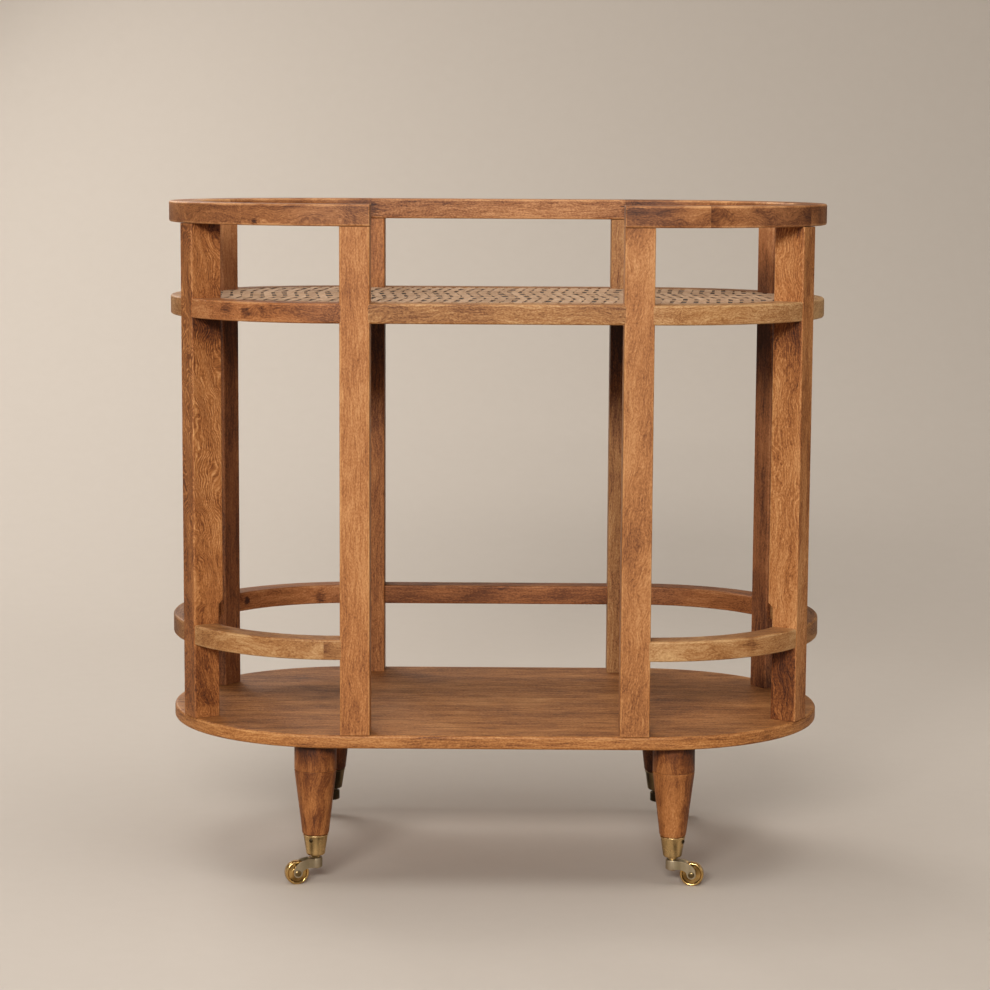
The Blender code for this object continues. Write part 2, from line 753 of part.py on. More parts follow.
def main():
    clear_scene()
    parts = make_collection("serving_trolley")
    finishes = {
        "post": make_material("post_wood", (0.36, 0.16, 0.06), 0.5),
        "top": make_material("top_rail_wood", (0.27, 0.11, 0.045), 0.45),
        "shelf": make_material("shelf_wood", (0.30, 0.13, 0.05), 0.5),
        "guard": make_material("guard_wood", (0.32, 0.16, 0.07), 0.5),
        "board": make_material("board_wood", (0.22, 0.10, 0.045), 0.5),
        "leg": make_material("leg_wood", (0.25, 0.09, 0.035), 0.45),
        "cane": make_material("cane", (0.46, 0.27, 0.13), 0.6),
        "cup": make_material("cup_brass", (0.42, 0.33, 0.18), 0.35, 1.0),
        "fork": make_material("fork_brass", (0.45, 0.38, 0.27), 0.45, 1.0),
        "wheel": make_material("wheel_brass", (0.63, 0.42, 0.15), 0.25, 1.0),
        "axle": make_material("axle_brass", (0.50, 0.40, 0.25), 0.35, 1.0),
        "screw": make_material("screw_brass", (0.40, 0.32, 0.18), 0.35, 1.0),
    }
    stations = post_stations()
    build_posts(stations, parts, finishes["post"])
    mortises = mortise_cutters(
        "top_mortise", stations, top_foot - OVERCUT, top_foot + TENON_TOP_LENGTH + GAP, False
    )
    top_section = rail_section(OUTLINE_RADIUS + TOP_OVERHANG, TOP_WIDTH, top_foot, top_top)
    build_rail("top_rail", top_section, mortises, post_x - POST_WIDTH / 2, parts, finishes["top"])
    shelf_laps = rail_cutters("shelf_lap", stations, shelf_foot, shelf_top, [(-OVERCUT, POST_LAP + GAP)])
    build_rail("shelf_rail", shelf_section(), shelf_laps, None, parts, finishes["shelf"])
    tongue_cheeks = [(-OVERCUT, TONGUE_INSET), (TONGUE_INSET + TONGUE_THICKNESS, GUARD_WIDTH + OVERCUT)]
    guard_shoulders = rail_cutters("guard_shoulder", stations, guard_foot, guard_top, tongue_cheeks)
    guard_section = rail_section(OUTLINE_RADIUS, GUARD_WIDTH, guard_foot, guard_top)
    build_rail("guard_rail", guard_section, guard_shoulders, post_x + GAP / 2, parts, finishes["guard"])
    build_cane(parts, finishes["cane"])
    build_board(stations, parts, finishes["board"])
    build_legs_and_castors(parts, finishes)


main()
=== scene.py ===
"""Looks of an oval serving trolley: satin timber, a woven cane shelf and aged brass castors.

Metres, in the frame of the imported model: the open front faces -Y and the floor is z = 0.
"""

import math
import random
from collections import namedtuple

import bmesh
import bpy
from mathutils import Matrix, Vector


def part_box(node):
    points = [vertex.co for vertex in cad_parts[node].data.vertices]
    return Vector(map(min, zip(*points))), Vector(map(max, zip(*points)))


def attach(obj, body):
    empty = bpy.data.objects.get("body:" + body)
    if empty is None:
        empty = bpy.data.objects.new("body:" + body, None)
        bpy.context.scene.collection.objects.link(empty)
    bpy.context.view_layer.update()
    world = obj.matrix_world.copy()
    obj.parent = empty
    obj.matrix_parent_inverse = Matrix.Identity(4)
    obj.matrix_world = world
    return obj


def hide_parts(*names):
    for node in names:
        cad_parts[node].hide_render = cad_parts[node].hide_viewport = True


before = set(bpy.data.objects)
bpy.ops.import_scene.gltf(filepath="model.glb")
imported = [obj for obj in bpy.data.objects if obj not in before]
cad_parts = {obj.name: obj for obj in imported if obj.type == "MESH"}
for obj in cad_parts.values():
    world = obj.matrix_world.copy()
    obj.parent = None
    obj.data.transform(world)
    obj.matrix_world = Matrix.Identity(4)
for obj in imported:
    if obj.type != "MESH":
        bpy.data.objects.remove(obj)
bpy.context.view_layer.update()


def middle_of(node):
    low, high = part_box(node)
    return (low + high) / 2


# Places and sizes read from the frame
board_low, board_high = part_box("bottom_board")
shelf_low, shelf_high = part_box("shelf_rail_back")
guard_low, guard_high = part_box("guard_rail_back")
top_low, top_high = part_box("top_rail_back")
cane_low, cane_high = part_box("cane_panel")
post_low, post_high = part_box("post_front_right")
end_post = middle_of("post_right_front")
half_straight = board_high.x - board_high.y
post_x = (post_low.x + post_high.x) / 2
post_width = post_high.x - post_low.x
post_depth = post_high.y - post_low.y
end_angle = math.atan2(-end_post.y, end_post.x - half_straight)

# Sizes of the finish, in metres
RAIL_EASE = 0.0024
BOARD_EASE = 0.0030
POST_EASE = 0.0019
FORK_EASE = 0.0005
FREE_END_EASE = 0.0012
EASED_WIDTH = 0.0016
GLUE_LINE = 0.00012
POST_PROUD = 0.0001
FIT = 0.0003
OVERCUT = 0.01

# How near points or faces are when they count as one
NEAR = 0.001
TINY = 0.000001

# How finely shapes are stepped, and the angles up to which they look smooth
EASE_STEPS = 3
BOARD_EASE_STEPS = 4
BEND_STEP = math.radians(2.5)
TURN_STEPS = 64
SMALL_TURN_STEPS = 32
OVAL_STEPS = 60
BOARD_STEPS = 90
SMOOTH_ANGLE = math.radians(35)
LEVEL_ANGLE = math.radians(60)

# Legs and castors, heights from the floor and radii
CASTOR_TOP = 0.058
LEG_TOP = 0.135
LEG_RADIUS = 0.0244
LEG_FOOT_RADIUS = 0.01525
LEG_TENON_RADIUS = 0.009
LEG_TENON_TOP = 0.1747
BLOCK_TOP = 0.1677
CUP_RADIUS = 0.0144
CUP_FOOT_RADIUS = 0.01075
CUP_FOOT = 0.033
CUP_WALL = 0.0017
CUP_FLOOR = 0.036
BOSS_TOP = 0.030
BOSS_FOOT = 0.0183
NECK_RADIUS = 0.0049
PINTLE_RADIUS = 0.0030
LIP_FOOT = CASTOR_TOP - 0.0016
SCREW_HEIGHT = CASTOR_TOP - 0.0056
WHEEL_RADIUS = 0.01375
SUNK_RING = (0.0054, WHEEL_RADIUS - 0.0027)
FORK_WIDTH = 0.0146

SIDES = (("left", -1), ("right", 1))
WAYS = (("front", -1), ("back", 1))
CORNERS = ("front_left", "front_right", "back_left", "back_right")
UP = Vector((0, 0, 1))

# End posts: their width, the depth of the front ones below their step, and the step's top
END_POST_WIDTH = 0.031
END_POST_FOOT_DEPTH = 0.032
END_POST_STEP = guard_high.z + 0.028

# A tier of rails: its name, its heights, its outer radius and how wide it is in plan
Tier = namedtuple("Tier", "name low high outer width")
shelf_outer, guard_outer = shelf_high.y - POST_PROUD, guard_high.y - POST_PROUD
TOP_TIER = Tier("top_rail", top_low.z, top_high.z, top_high.y, top_high.y - top_low.y)
SHELF_TIER = Tier("shelf_rail", shelf_low.z, shelf_high.z, shelf_outer, shelf_high.y - shelf_low.y)
GUARD_TIER = Tier("guard_rail", guard_low.z, guard_high.z, guard_outer, guard_high.y - guard_low.y)

chance = random.Random(11)


# Modelling by hand, in code

def activate(piece):
    bpy.ops.object.select_all(action="DESELECT")
    piece.select_set(True)
    bpy.context.view_layer.objects.active = piece


def start_edit(piece):
    activate(piece)
    bpy.ops.object.mode_set(mode="EDIT")
    bpy.ops.mesh.select_all(action="SELECT")


def end_edit():
    bpy.ops.object.mode_set(mode="OBJECT")


def pick(piece, kind, chosen):
    """In edit mode, selects the verts, edges or faces that a test chooses, and nothing else."""
    bpy.ops.mesh.select_all(action="DESELECT")
    bm = bmesh.from_edit_mesh(piece.data)
    for item in getattr(bm, kind):
        if chosen(item):
            item.select_set(True)
    bmesh.update_edit_mesh(piece.data)


def bevel_edges(piece, chosen, offset, segments):
    """Rounds the edges that a test chooses."""
    start_edit(piece)
    bpy.ops.mesh.select_mode(type="EDGE")
    pick(piece, "edges", chosen)
    bpy.ops.mesh.bevel(offset=offset, segments=segments, affect="EDGES")
    bpy.ops.mesh.select_mode(type="VERT")
    end_edit()


def extrude(x, y, z):
    bpy.ops.mesh.extrude_region_move(TRANSFORM_OT_translate={"value": (x, y, z)})


def close_up(piece):
    """Merges what coincides and turns all faces outwards."""
    start_edit(piece)
    bpy.ops.mesh.remove_doubles(threshold=TINY)
    bpy.ops.mesh.dissolve_degenerate(threshold=TINY)
    bpy.ops.mesh.select_all(action="SELECT")
    bpy.ops.mesh.normals_make_consistent(inside=False)
    end_edit()


def named(piece, name):
    piece.name = name
    piece.data.name = name
    return piece


def named_primitive(name, add, **settings):
    bpy.ops.object.select_all(action="DESELECT")
    add(**settings)
    return named(bpy.context.object, name)


def apply_modifier(piece, kind, **settings):
    activate(piece)
    modifier = piece.modifiers.new(kind.lower(), kind)
    for key, value in settings.items():
        setattr(modifier, key, value)
    bpy.ops.object.modifier_apply(modifier=modifier.name)


def cut_away(piece, cutter):
    apply_modifier(piece, "BOOLEAN", operation="DIFFERENCE", solver="EXACT", object=cutter)


def joined(name, pieces):
    bpy.ops.object.select_all(action="DESELECT")
    for piece in pieces:
        piece.select_set(True)
    bpy.context.view_layer.objects.active = pieces[0]
    if len(pieces) > 1:
        bpy.ops.object.join()
    return named(bpy.context.object, name)


def smooth(piece, angle=SMOOTH_ANGLE):
    activate(piece)
    bpy.ops.object.shade_smooth_by_angle(angle=angle)


def level_normals(piece):
    """Keeps broad faces flat to the eye beside their rounded edges."""
    smooth(piece, LEVEL_ANGLE)
    apply_modifier(piece, "WEIGHTED_NORMAL", keep_sharp=True, weight=100)


def plain_copy(piece, name):
    copy = piece.copy()
    copy.data = piece.data.copy()
    bpy.context.scene.collection.objects.link(copy)
    return named(copy, name)


def copy_of(node, name):
    """A merged copy of a CAD node, with its flat faces made whole."""
    piece = plain_copy(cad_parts[node], name)
    piece.parent = None
    for key in list(piece.keys()):
        del piece[key]
    piece.data.materials.clear()
    start_edit(piece)
    bpy.ops.mesh.customdata_custom_splitnormals_clear()
    bpy.ops.mesh.remove_doubles(threshold=2 * TINY)
    bpy.ops.mesh.dissolve_limited(angle_limit=math.radians(0.5))
    end_edit()
    return piece


def turned(name, profile, place, steps=TURN_STEPS):
    """Spins a closed outline of (radius, height) points about the Z axis, and moves it to its place."""
    piece = named_primitive(name, bpy.ops.mesh.primitive_circle_add, vertices=len(profile))
    for vertex, (radius, height) in zip(piece.data.vertices, profile):
        vertex.co = (radius, 0, height)
    start_edit(piece)
    bpy.ops.mesh.spin(steps=steps, angle=math.tau, center=(0, 0, 0), axis=(0, 0, 1))
    end_edit()
    close_up(piece)
    piece.data.transform(place)
    smooth(piece)
    return piece


def arc(centre, radius, start, end, steps):
    """Points of an arc in (radius, height), with its angles in degrees."""
    points = []
    for i in range(steps + 1):
        angle = math.radians(start + (end - start) * i / steps)
        points.append((centre[0] + radius * math.cos(angle), centre[1] + radius * math.sin(angle)))
    return points


def dress(piece, node, body, slot, *finishes):
    for finish in finishes:
        piece.data.materials.append(finish)
    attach(piece, body)
    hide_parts(node)


# Timber: every length of wood knows which way its grain runs

def paint_faces(mesh, name, values):
    attribute = mesh.attributes.get(name) or mesh.attributes.new(name, "FLOAT", "FACE")
    attribute.data.foreach_set("value", values)


def narrow(polygon, mesh):
    """Tells the strips of an eased edge from the broad faces beside them."""
    points = [mesh.vertices[i].co for i in polygon.vertices]
    longest = max((a - b).length for a, b in zip(points, points[1:] + points[:1]))
    return polygon.area / max(longest, TINY) < EASED_WIDTH


def lay_grain(piece, along, across, tone, outward=None):
    """Gives each point its place in the plank it was cut from: x along the grain, y and z across it.

    Faces that look outward, if a way is given, are left out of the bands of painted light and shade; all
    other faces take them.
    """
    mesh = piece.data
    x_axis = Vector(along).normalized()
    z_axis = x_axis.cross(Vector(across)).normalized()
    turn = Matrix((x_axis, z_axis.cross(x_axis), z_axis)).to_4x4()
    middle = sum((Vector(corner) for corner in piece.bound_box), Vector()) / 8
    shift = Vector((chance.uniform(1, 9), chance.uniform(-0.02, 0.02), chance.uniform(-0.02, 0.02)))
    to_plank = Matrix.Translation(shift) @ turn @ Matrix.Translation(-middle)
    grain = mesh.attributes.new("grain", "FLOAT_VECTOR", "POINT")
    values = []
    for vertex in mesh.vertices:
        values.extend(to_plank @ vertex.co)
    grain.data.foreach_set("vector", values)
    paint_faces(mesh, "tone", [tone] * len(mesh.polygons))
    paint_faces(mesh, "wear", [float(narrow(p, mesh)) for p in mesh.polygons])
    # Faces marked here take the bands of painted light and shade
    marked_for_painted_light = [float(outward is None or p.normal.dot(outward) < 0.5) for p in mesh.polygons]
    paint_faces(mesh, "shelter", marked_for_painted_light)


def section_face(name, tier, at_x, angle):
    """A rail's eased section, standing across the rail where it starts."""
    piece = named_primitive(name, bpy.ops.mesh.primitive_plane_add, size=1)
    start_edit(piece)
    bpy.ops.transform.resize(value=(tier.width, tier.high - tier.low, 1))
    bpy.ops.mesh.bevel(offset=RAIL_EASE, segments=EASE_STEPS, affect="VERTICES")
    end_edit()
    upright = Matrix.Rotation(math.pi / 2, 4, "X")
    out = Matrix.Translation((tier.outer - tier.width / 2, 0, (tier.low + tier.high) / 2))
    turn = Matrix.Rotation(angle, 4, "Z")
    piece.data.transform(Matrix.Translation((at_x, 0, 0)) @ turn @ out @ upright)
    return piece


def rail_timber(name, tier, side, way, start, end, run_start=None, free_end=False):
    """One length of a rail, made at the front right and mirrored to its side and way.

    It runs straight from run_start to the bend, if that is given, and then round from start to end.
    """
    at_x = half_straight if run_start is None else run_start
    piece = section_face(name, tier, at_x, start)
    start_edit(piece)
    if run_start is not None:
        extrude(half_straight - at_x, 0, 0)
    if end > start:
        steps = math.ceil((end - start) / BEND_STEP)
        centre = (half_straight, 0, 0)
        bpy.ops.mesh.spin(steps=steps, angle=start - end, center=centre, axis=(0, 0, 1))
    end_edit()
    fill_ends(piece)
    if free_end:
        ease_end(piece, at_x)
    piece.data.transform(Matrix.Diagonal((side, -way, 1, 1)))
    close_up(piece)
    middle = (start + end) / 2
    along = Vector((-math.sin(middle) * side, math.cos(middle) * -way, 0))
    return piece, along


def straight_timber(name, tier, reach, way):
    piece = section_face(name, tier, -reach, -math.pi / 2)
    start_edit(piece)
    extrude(2 * reach, 0, 0)
    end_edit()
    fill_ends(piece)
    piece.data.transform(Matrix.Diagonal((1, -way, 1, 1)))
    close_up(piece)
    return piece, Vector((1, 0, 0))


def fill_ends(piece):
    """Removes faces left inside a swept length and closes its two ends."""
    start_edit(piece)
    bpy.ops.mesh.remove_doubles(threshold=TINY)
    bpy.ops.mesh.select_mode(type="FACE")
    pick(piece, "faces", lambda face: len(face.verts) > 4)
    bpy.ops.mesh.delete(type="ONLY_FACE")
    bpy.ops.mesh.select_mode(type="VERT")
    bpy.ops.mesh.select_all(action="SELECT")
    bpy.ops.mesh.fill_holes(sides=0)
    end_edit()


def ease_end(piece, at_x):
    """Rounds the edges of the end that shows at the open front."""

    def at_end(edge):
        return all(abs(vertex.co.x - at_x) < TINY for vertex in edge.verts)

    bevel_edges(piece, at_end, FREE_END_EASE, EASE_STEPS)


# Materials

class Value:
    """A shader socket that does sums: each operator adds a Math node to its tree."""

    def __init__(self, finish, socket):
        self.finish = finish
        self.socket = socket

    def sum(self, operation, first, second=0.0):
        return self.finish.node("ShaderNodeMath", {"operation": operation}, {0: first, 1: second})

    def __add__(self, other):
        return self.sum("ADD", self, other)

    def __radd__(self, other):
        return self.sum("ADD", other, self)

    def __sub__(self, other):
        return self.sum("SUBTRACT", self, other)

    def __rsub__(self, other):
        return self.sum("SUBTRACT", other, self)

    def __mul__(self, other):
        return self.sum("MULTIPLY", self, other)

    def __rmul__(self, other):
        return self.sum("MULTIPLY", other, self)

    def __abs__(self):
        return self.sum("ABSOLUTE", self)

    def sine(self):
        return self.sum("SINE", self)

    def step(self, low, high):
        """Rises smoothly from 0 at low to 1 at high."""
        inputs = {"Value": self, "From Min": low, "From Max": high}
        return self.finish.node("ShaderNodeMapRange", {"interpolation_type": "SMOOTHSTEP"}, inputs)


class Shading:
    """A node tree, to which each method adds nodes."""

    def __init__(self, tree):
        self.tree = tree

    def node(self, kind, settings=None, inputs=None, output=0):
        """Adds a node of a kind: its settings first, then the values or links of its sockets."""
        node = self.tree.nodes.new(kind)
        for key, value in (settings or {}).items():
            if key == "stops":
                self.set_stops(node.color_ramp, value)
            else:
                setattr(node, key, value)
        for key, value in (inputs or {}).items():
            self.feed(node.inputs[key], value)
        return Value(self, node.outputs[output])

    def set_stops(self, ramp, stops):
        while len(ramp.elements) < len(stops):
            ramp.elements.new(1.0)
        for element, (position, color) in zip(ramp.elements, stops):
            element.position = position
            element.color = (*color, 1)

    def feed(self, socket, value):
        if isinstance(value, Value):
            self.tree.links.new(value.socket, socket)
        elif socket.type == "RGBA":
            socket.default_value = (*value, 1)
        else:
            socket.default_value = value

    def attribute(self, name, output="Fac"):
        return self.node("ShaderNodeAttribute", {"attribute_name": name}, output=output)

    def axis(self, vector, name):
        return self.node("ShaderNodeSeparateXYZ", None, {0: vector}, output=name)

    def ray(self, kind):
        return self.node("ShaderNodeLightPath", output=f"Is {kind} Ray")

    def noise(self, vector, scale, detail=2.0, roughness=0.5):
        """Noise over a vector that is first stretched by a scale for each axis."""
        stretched = self.node("ShaderNodeMapping", None, {"Vector": vector, "Scale": scale})
        inputs = {"Vector": stretched, "Scale": 1.0, "Detail": detail, "Roughness": roughness}
        return self.node("ShaderNodeTexNoise", None, inputs)

    def drift(self, vector, scale, reach):
        """The vector pushed about by soft noise, as far as the reach on each axis."""
        stretched = self.node("ShaderNodeMapping", None, {"Vector": vector, "Scale": scale})
        inputs = {"Vector": stretched, "Scale": 1.0, "Detail": 1.0}
        push = self.node("ShaderNodeTexNoise", None, inputs, output="Color")
        centred = self.node("ShaderNodeVectorMath", {"operation": "SUBTRACT"}, {0: push, 1: (0.5, 0.5, 0.5)})
        inputs = {0: centred, 1: reach, 2: vector}
        return self.node("ShaderNodeVectorMath", {"operation": "MULTIPLY_ADD"}, inputs)

    def mix(self, share, first, second):
        inputs = {0: share, 6: first, 7: second}
        return self.node("ShaderNodeMix", {"data_type": "RGBA"}, inputs, output=2)

    def bump(self, height, strength, distance):
        inputs = {"Height": height, "Strength": strength, "Distance": distance}
        return self.node("ShaderNodeBump", None, inputs)


class Finish(Shading):
    """A material and its shader."""

    def __init__(self, name):
        self.material = bpy.data.materials.new(name)
        self.material.use_nodes = True
        super().__init__(self.material.node_tree)
        self.shader = self.tree.nodes["Principled BSDF"]

    def set(self, **inputs):
        for key, value in inputs.items():
            self.feed(self.shader.inputs[key.replace("_", " ").title()], value)


# Where a timber's four colours stand, from its darkest lines to its palest
TIMBER_STOPS = (0.00, 0.28, 0.58, 1.00)

# The lace figure: the heights between which it comes in, and how far apart its lines are
LACE_FADE = (0.24, 0.50)
LACE_PITCH = 0.0029

# The height over which a band of painted light or shade in the timber ends
PAINTED_BAND_END = 0.006


def timber_finish(
    name, colors, fleck, band, swirl, curl, patch=0.3, ring=0.0, edge=0.06, painted_light_bands=(), marks=()
):
    """Satin wood: fine wavy lines and grit, drawn-out bands and clouds, pores and paler eased edges, partly
    wear and partly a painted highlight.

    How strong they are: fleck for lines and grit, band for bands, patch for clouds, ring for the lace
    figure and edge for the paler eased edges. How far the lines sway: swirl in long waves and curl in short
    ones.
    Each band of painted light or shade, (start, end, amount), grows from one height to another on the faces
    marked for it and stops there: painted shade where the amount is below zero, painted light where it is
    above.
    Each mark, (place, radius, amount), is a small spot such as a knot.
    """
    finish = Finish(name)
    grain = finish.attribute("grain", "Vector")
    tone = finish.attribute("tone")
    wear = finish.attribute("wear")
    shelter = finish.attribute("shelter")
    place = finish.node("ShaderNodeTexCoord", output="Object")
    z = finish.axis(place, "Z")
    sway = finish.drift(grain, (9.0, 26.0, 26.0), (0.0, 0.05 * swirl, 0.05 * swirl))
    bent = finish.drift(sway, (38.0, 46.0, 46.0), (0.02 * curl, 0.022 * curl, 0.022 * curl))
    cloud = finish.noise(grain, (5.0, 16.0, 16.0), 2.0)
    blotch = finish.noise(bent, (20.0, 34.0, 34.0), 1.0)
    stripe = finish.noise(bent, (4.5, 75.0, 75.0), 2.0, 0.55)
    lines = finish.noise(bent, (34.0, 540.0, 540.0), 2.0, 0.62)
    grit = finish.noise(bent, (380.0, 760.0, 760.0), 1.0)
    pores = finish.noise(bent, (80.0, 1000.0, 1000.0), 1.0).step(0.62, 0.76)
    vein = 1 - abs(stripe - 0.46).step(0.0, 0.022)
    shade = 0.5 + (tone - 0.5) * 0.9 + (cloud - 0.5) * 1.2 * patch + (blotch - 0.5) * patch
    shade = shade + (stripe - 0.5) * band + (lines - 0.5) * fleck + (grit - 0.5) * 0.9 * fleck
    # Eased edges are paler: partly wear, partly a painted highlight
    shade = shade - vein * 0.2 * band - pores * 0.10 + wear * edge * (0.4 + blotch * 1.2)
    if ring:
        across = finish.axis(bent, "Y")
        depth = finish.axis(bent, "Z")
        lace = ((across + depth * 0.8) * (math.tau / LACE_PITCH)).sine().step(-0.1, 1.0)
        shade = shade + (lace - 0.35) * cloud * (grit + lines) * z.step(*LACE_FADE) * ring
    # Bands of painted shade and painted light, by height
    for start, end, amount in painted_light_bands:
        beyond = end + math.copysign(PAINTED_BAND_END, end - start)
        shade = shade + z.step(start, end) * (1 - z.step(end, beyond)) * shelter * amount
    for spot, radius, amount in marks:
        away = finish.node("ShaderNodeVectorMath", {"operation": "DISTANCE"}, {0: place, 1: spot}, output=1)
        shade = shade + (1 - (away + (lines - 0.5) * radius).step(radius * 0.3, radius)) * amount
    stops = tuple(zip(TIMBER_STOPS, colors))
    color = finish.node("ShaderNodeValToRGB", {"stops": stops}, {0: shade})
    finish.set(base_color=color, roughness=0.52 + pores * 0.15 - (lines - 0.5) * 0.2)
    height = lines + grit * 0.4 - pores * 0.6
    finish.set(normal=finish.bump(height, 0.30, 0.0004))
    finish.shader.inputs["Specular IOR Level"].default_value = 0.35
    return finish.material


POST_COLORS = ((0.050, 0.013, 0.005), (0.190, 0.056, 0.014), (0.440, 0.168, 0.048), (0.720, 0.370, 0.150))
TOP_COLORS = ((0.040, 0.011, 0.005), (0.150, 0.047, 0.014), (0.340, 0.130, 0.042), (0.620, 0.310, 0.130))
GOLD_COLORS = ((0.050, 0.015, 0.006), (0.180, 0.062, 0.017), (0.390, 0.175, 0.057), (0.640, 0.390, 0.179))
GOLD_BACK_COLORS = ((0.040, 0.012, 0.006), (0.165, 0.052, 0.016), *GOLD_COLORS[2:])
BOARD_COLORS = ((0.070, 0.020, 0.006), (0.210, 0.070, 0.018), (0.440, 0.174, 0.048), (0.680, 0.345, 0.128))
RIGHT_COLORS = ((0.050, 0.014, 0.005), (0.190, 0.060, 0.016), (0.440, 0.175, 0.053), (0.710, 0.370, 0.155))
# A darker palette for the rear end posts, partly painted shade
REAR_COLORS = ((0.022, 0.008, 0.005), (0.110, 0.034, 0.013), (0.330, 0.120, 0.040), (0.600, 0.290, 0.120))
RED_COLORS = ((0.050, 0.013, 0.005), (0.180, 0.055, 0.015), (0.400, 0.147, 0.045), (0.640, 0.330, 0.140))

# Knots, chips, streaks and darker patches: place, radius, and how much paler or darker
KNOT = ((-0.3131, 0.1195, 0.2829), 0.0058, -0.80)
KNOT_BESIDE = ((-0.2249, 0.1730, 0.2795), 0.0110, -0.30)
FOOT_CHIP = ((-0.3229, -0.1173, 0.1860), 0.0045, 0.55)
BOARD_DOT = ((-0.2158, -0.1197, 0.1836), 0.0024, 0.60)
TOP_SPOTS = (
    ((-0.2729, -0.1881, 0.7655), 0.0055, -0.45),
    ((-0.1540, -0.2097, 0.7740), 0.0270, -0.15),
    ((0.1510, -0.2097, 0.7740), 0.0230, -0.12),
)
# Darker patches at the two ends of the back top rail
TOP_BACK_DARK_ENDS = (
    ((-0.1700, 0.1707, 0.7740), 0.0235, -0.45),
    ((0.1720, 0.1707, 0.7740), 0.0210, -0.55),
)
SHELF_STREAKS = (
    ((-0.3073, -0.1655, 0.6677), 0.0110, -0.26),
    ((-0.2832, -0.1816, 0.6632), 0.0100, -0.26),
    ((-0.2642, -0.1911, 0.6672), 0.0070, -0.18),
)
GUARD_STREAK = ((0.2948, -0.1745, 0.2852), 0.0120, -0.20)

# Bands on the posts: painted shadow under the shelf and under the top rail, painted shade towards the foot
# and over the low part, a darker band just above the shelf on the front right post, and painted light on the
# inner faces and on the rear end posts above the shelf
post_wood = timber_finish(
    "post_timber", POST_COLORS, 0.66, 0.28, 0.25, 0.22, edge=0.14, painted_light_bands=((0.46, 0.19, -0.06),)
)
right_post_wood = timber_finish(
    "right_post_timber", RIGHT_COLORS, 0.66, 0.30, 0.50, 0.45, patch=0.36, edge=0.14,
    painted_light_bands=((0.46, 0.19, -0.06), (0.652, 0.700, -0.06)),
)
left_end_wood = timber_finish(
    "left_end_post_timber", POST_COLORS, 0.72, 0.50, 0.80, 0.80, ring=0.46,
    painted_light_bands=((0.605, 0.652, -0.46), (0.742, 0.761, -0.28), (0.330, 0.200, -0.18), (-1.0, 1.0, 0.11)),
    marks=(FOOT_CHIP,),
)
right_end_wood = timber_finish(
    "right_end_post_timber", POST_COLORS, 0.80, 0.60, 0.60, 0.50, ring=0.24,
    painted_light_bands=((0.575, 0.652, -0.34), (0.735, 0.761, -0.28), (0.125, 0.268, -0.50), (-1.0, 1.0, 0.07)),
)
rear_wood = timber_finish(
    "rear_post_timber", REAR_COLORS, 0.60, 0.50, 0.40, 0.30, painted_light_bands=((0.55, 0.652, -0.20), (0.64, 0.764, 0.22))
)
back_wood = timber_finish(
    "back_post_timber", POST_COLORS, 0.65, 0.35, 0.40, 0.25, painted_light_bands=((0.48, 0.652, -0.50),)
)
gold_back_wood = timber_finish(
    "gold_back_post_timber", GOLD_BACK_COLORS, 0.65, 0.35, 0.40, 0.25, painted_light_bands=((0.48, 0.652, -0.62),)
)
top_wood = timber_finish(
    "top_rail_timber", TOP_COLORS, 0.60, 0.50, 0.70, 0.70, patch=0.72, ring=0.11, edge=0.26,
    marks=TOP_SPOTS,
)
top_back_wood = timber_finish(
    "top_back_timber", TOP_COLORS, 0.95, 0.55, 0.30, 0.25, patch=0.35, edge=0.20, marks=TOP_BACK_DARK_ENDS
)
shelf_wood = timber_finish("shelf_timber", GOLD_COLORS, 0.85, 0.40, 0.50, 0.45, patch=0.32, edge=0.10)
red_shelf_wood = timber_finish(
    "red_shelf_timber", RED_COLORS, 0.65, 0.55, 0.60, 0.50, patch=0.50, edge=0.10, marks=SHELF_STREAKS
)
# On the guard every face but the top is painted lighter, so the tops read darker: painted shade
guard_wood = timber_finish(
    "guard_timber", GOLD_COLORS, 0.58, 0.62, 0.60, 0.30, patch=0.52, edge=0.10,
    painted_light_bands=((-1.0, 1.0, 0.13),), marks=(GUARD_STREAK,),
)
red_guard_wood = timber_finish(
    "red_guard_timber", RED_COLORS, 0.60, 0.45, 0.40, 0.20, patch=0.45, edge=0.10,
    painted_light_bands=((-1.0, 1.0, 0.13),), marks=(KNOT, KNOT_BESIDE),
)
# The board's rim and underside are painted a little lighter than its top: painted light
board_wood = timber_finish(
    "board_timber", BOARD_COLORS, 0.85, 0.60, 0.25, 0.10, patch=0.40,
    painted_light_bands=((0.0, 0.2, 0.02),), marks=(BOARD_DOT,),
)
# On the legs, a band of painted shadow from the board darkens the tops of the blocks
leg_wood = timber_finish(
    "leg_timber", POST_COLORS, 0.50, 0.60, 0.80, 0.40, patch=0.6, painted_light_bands=((0.139, 0.165, -0.32),)
)


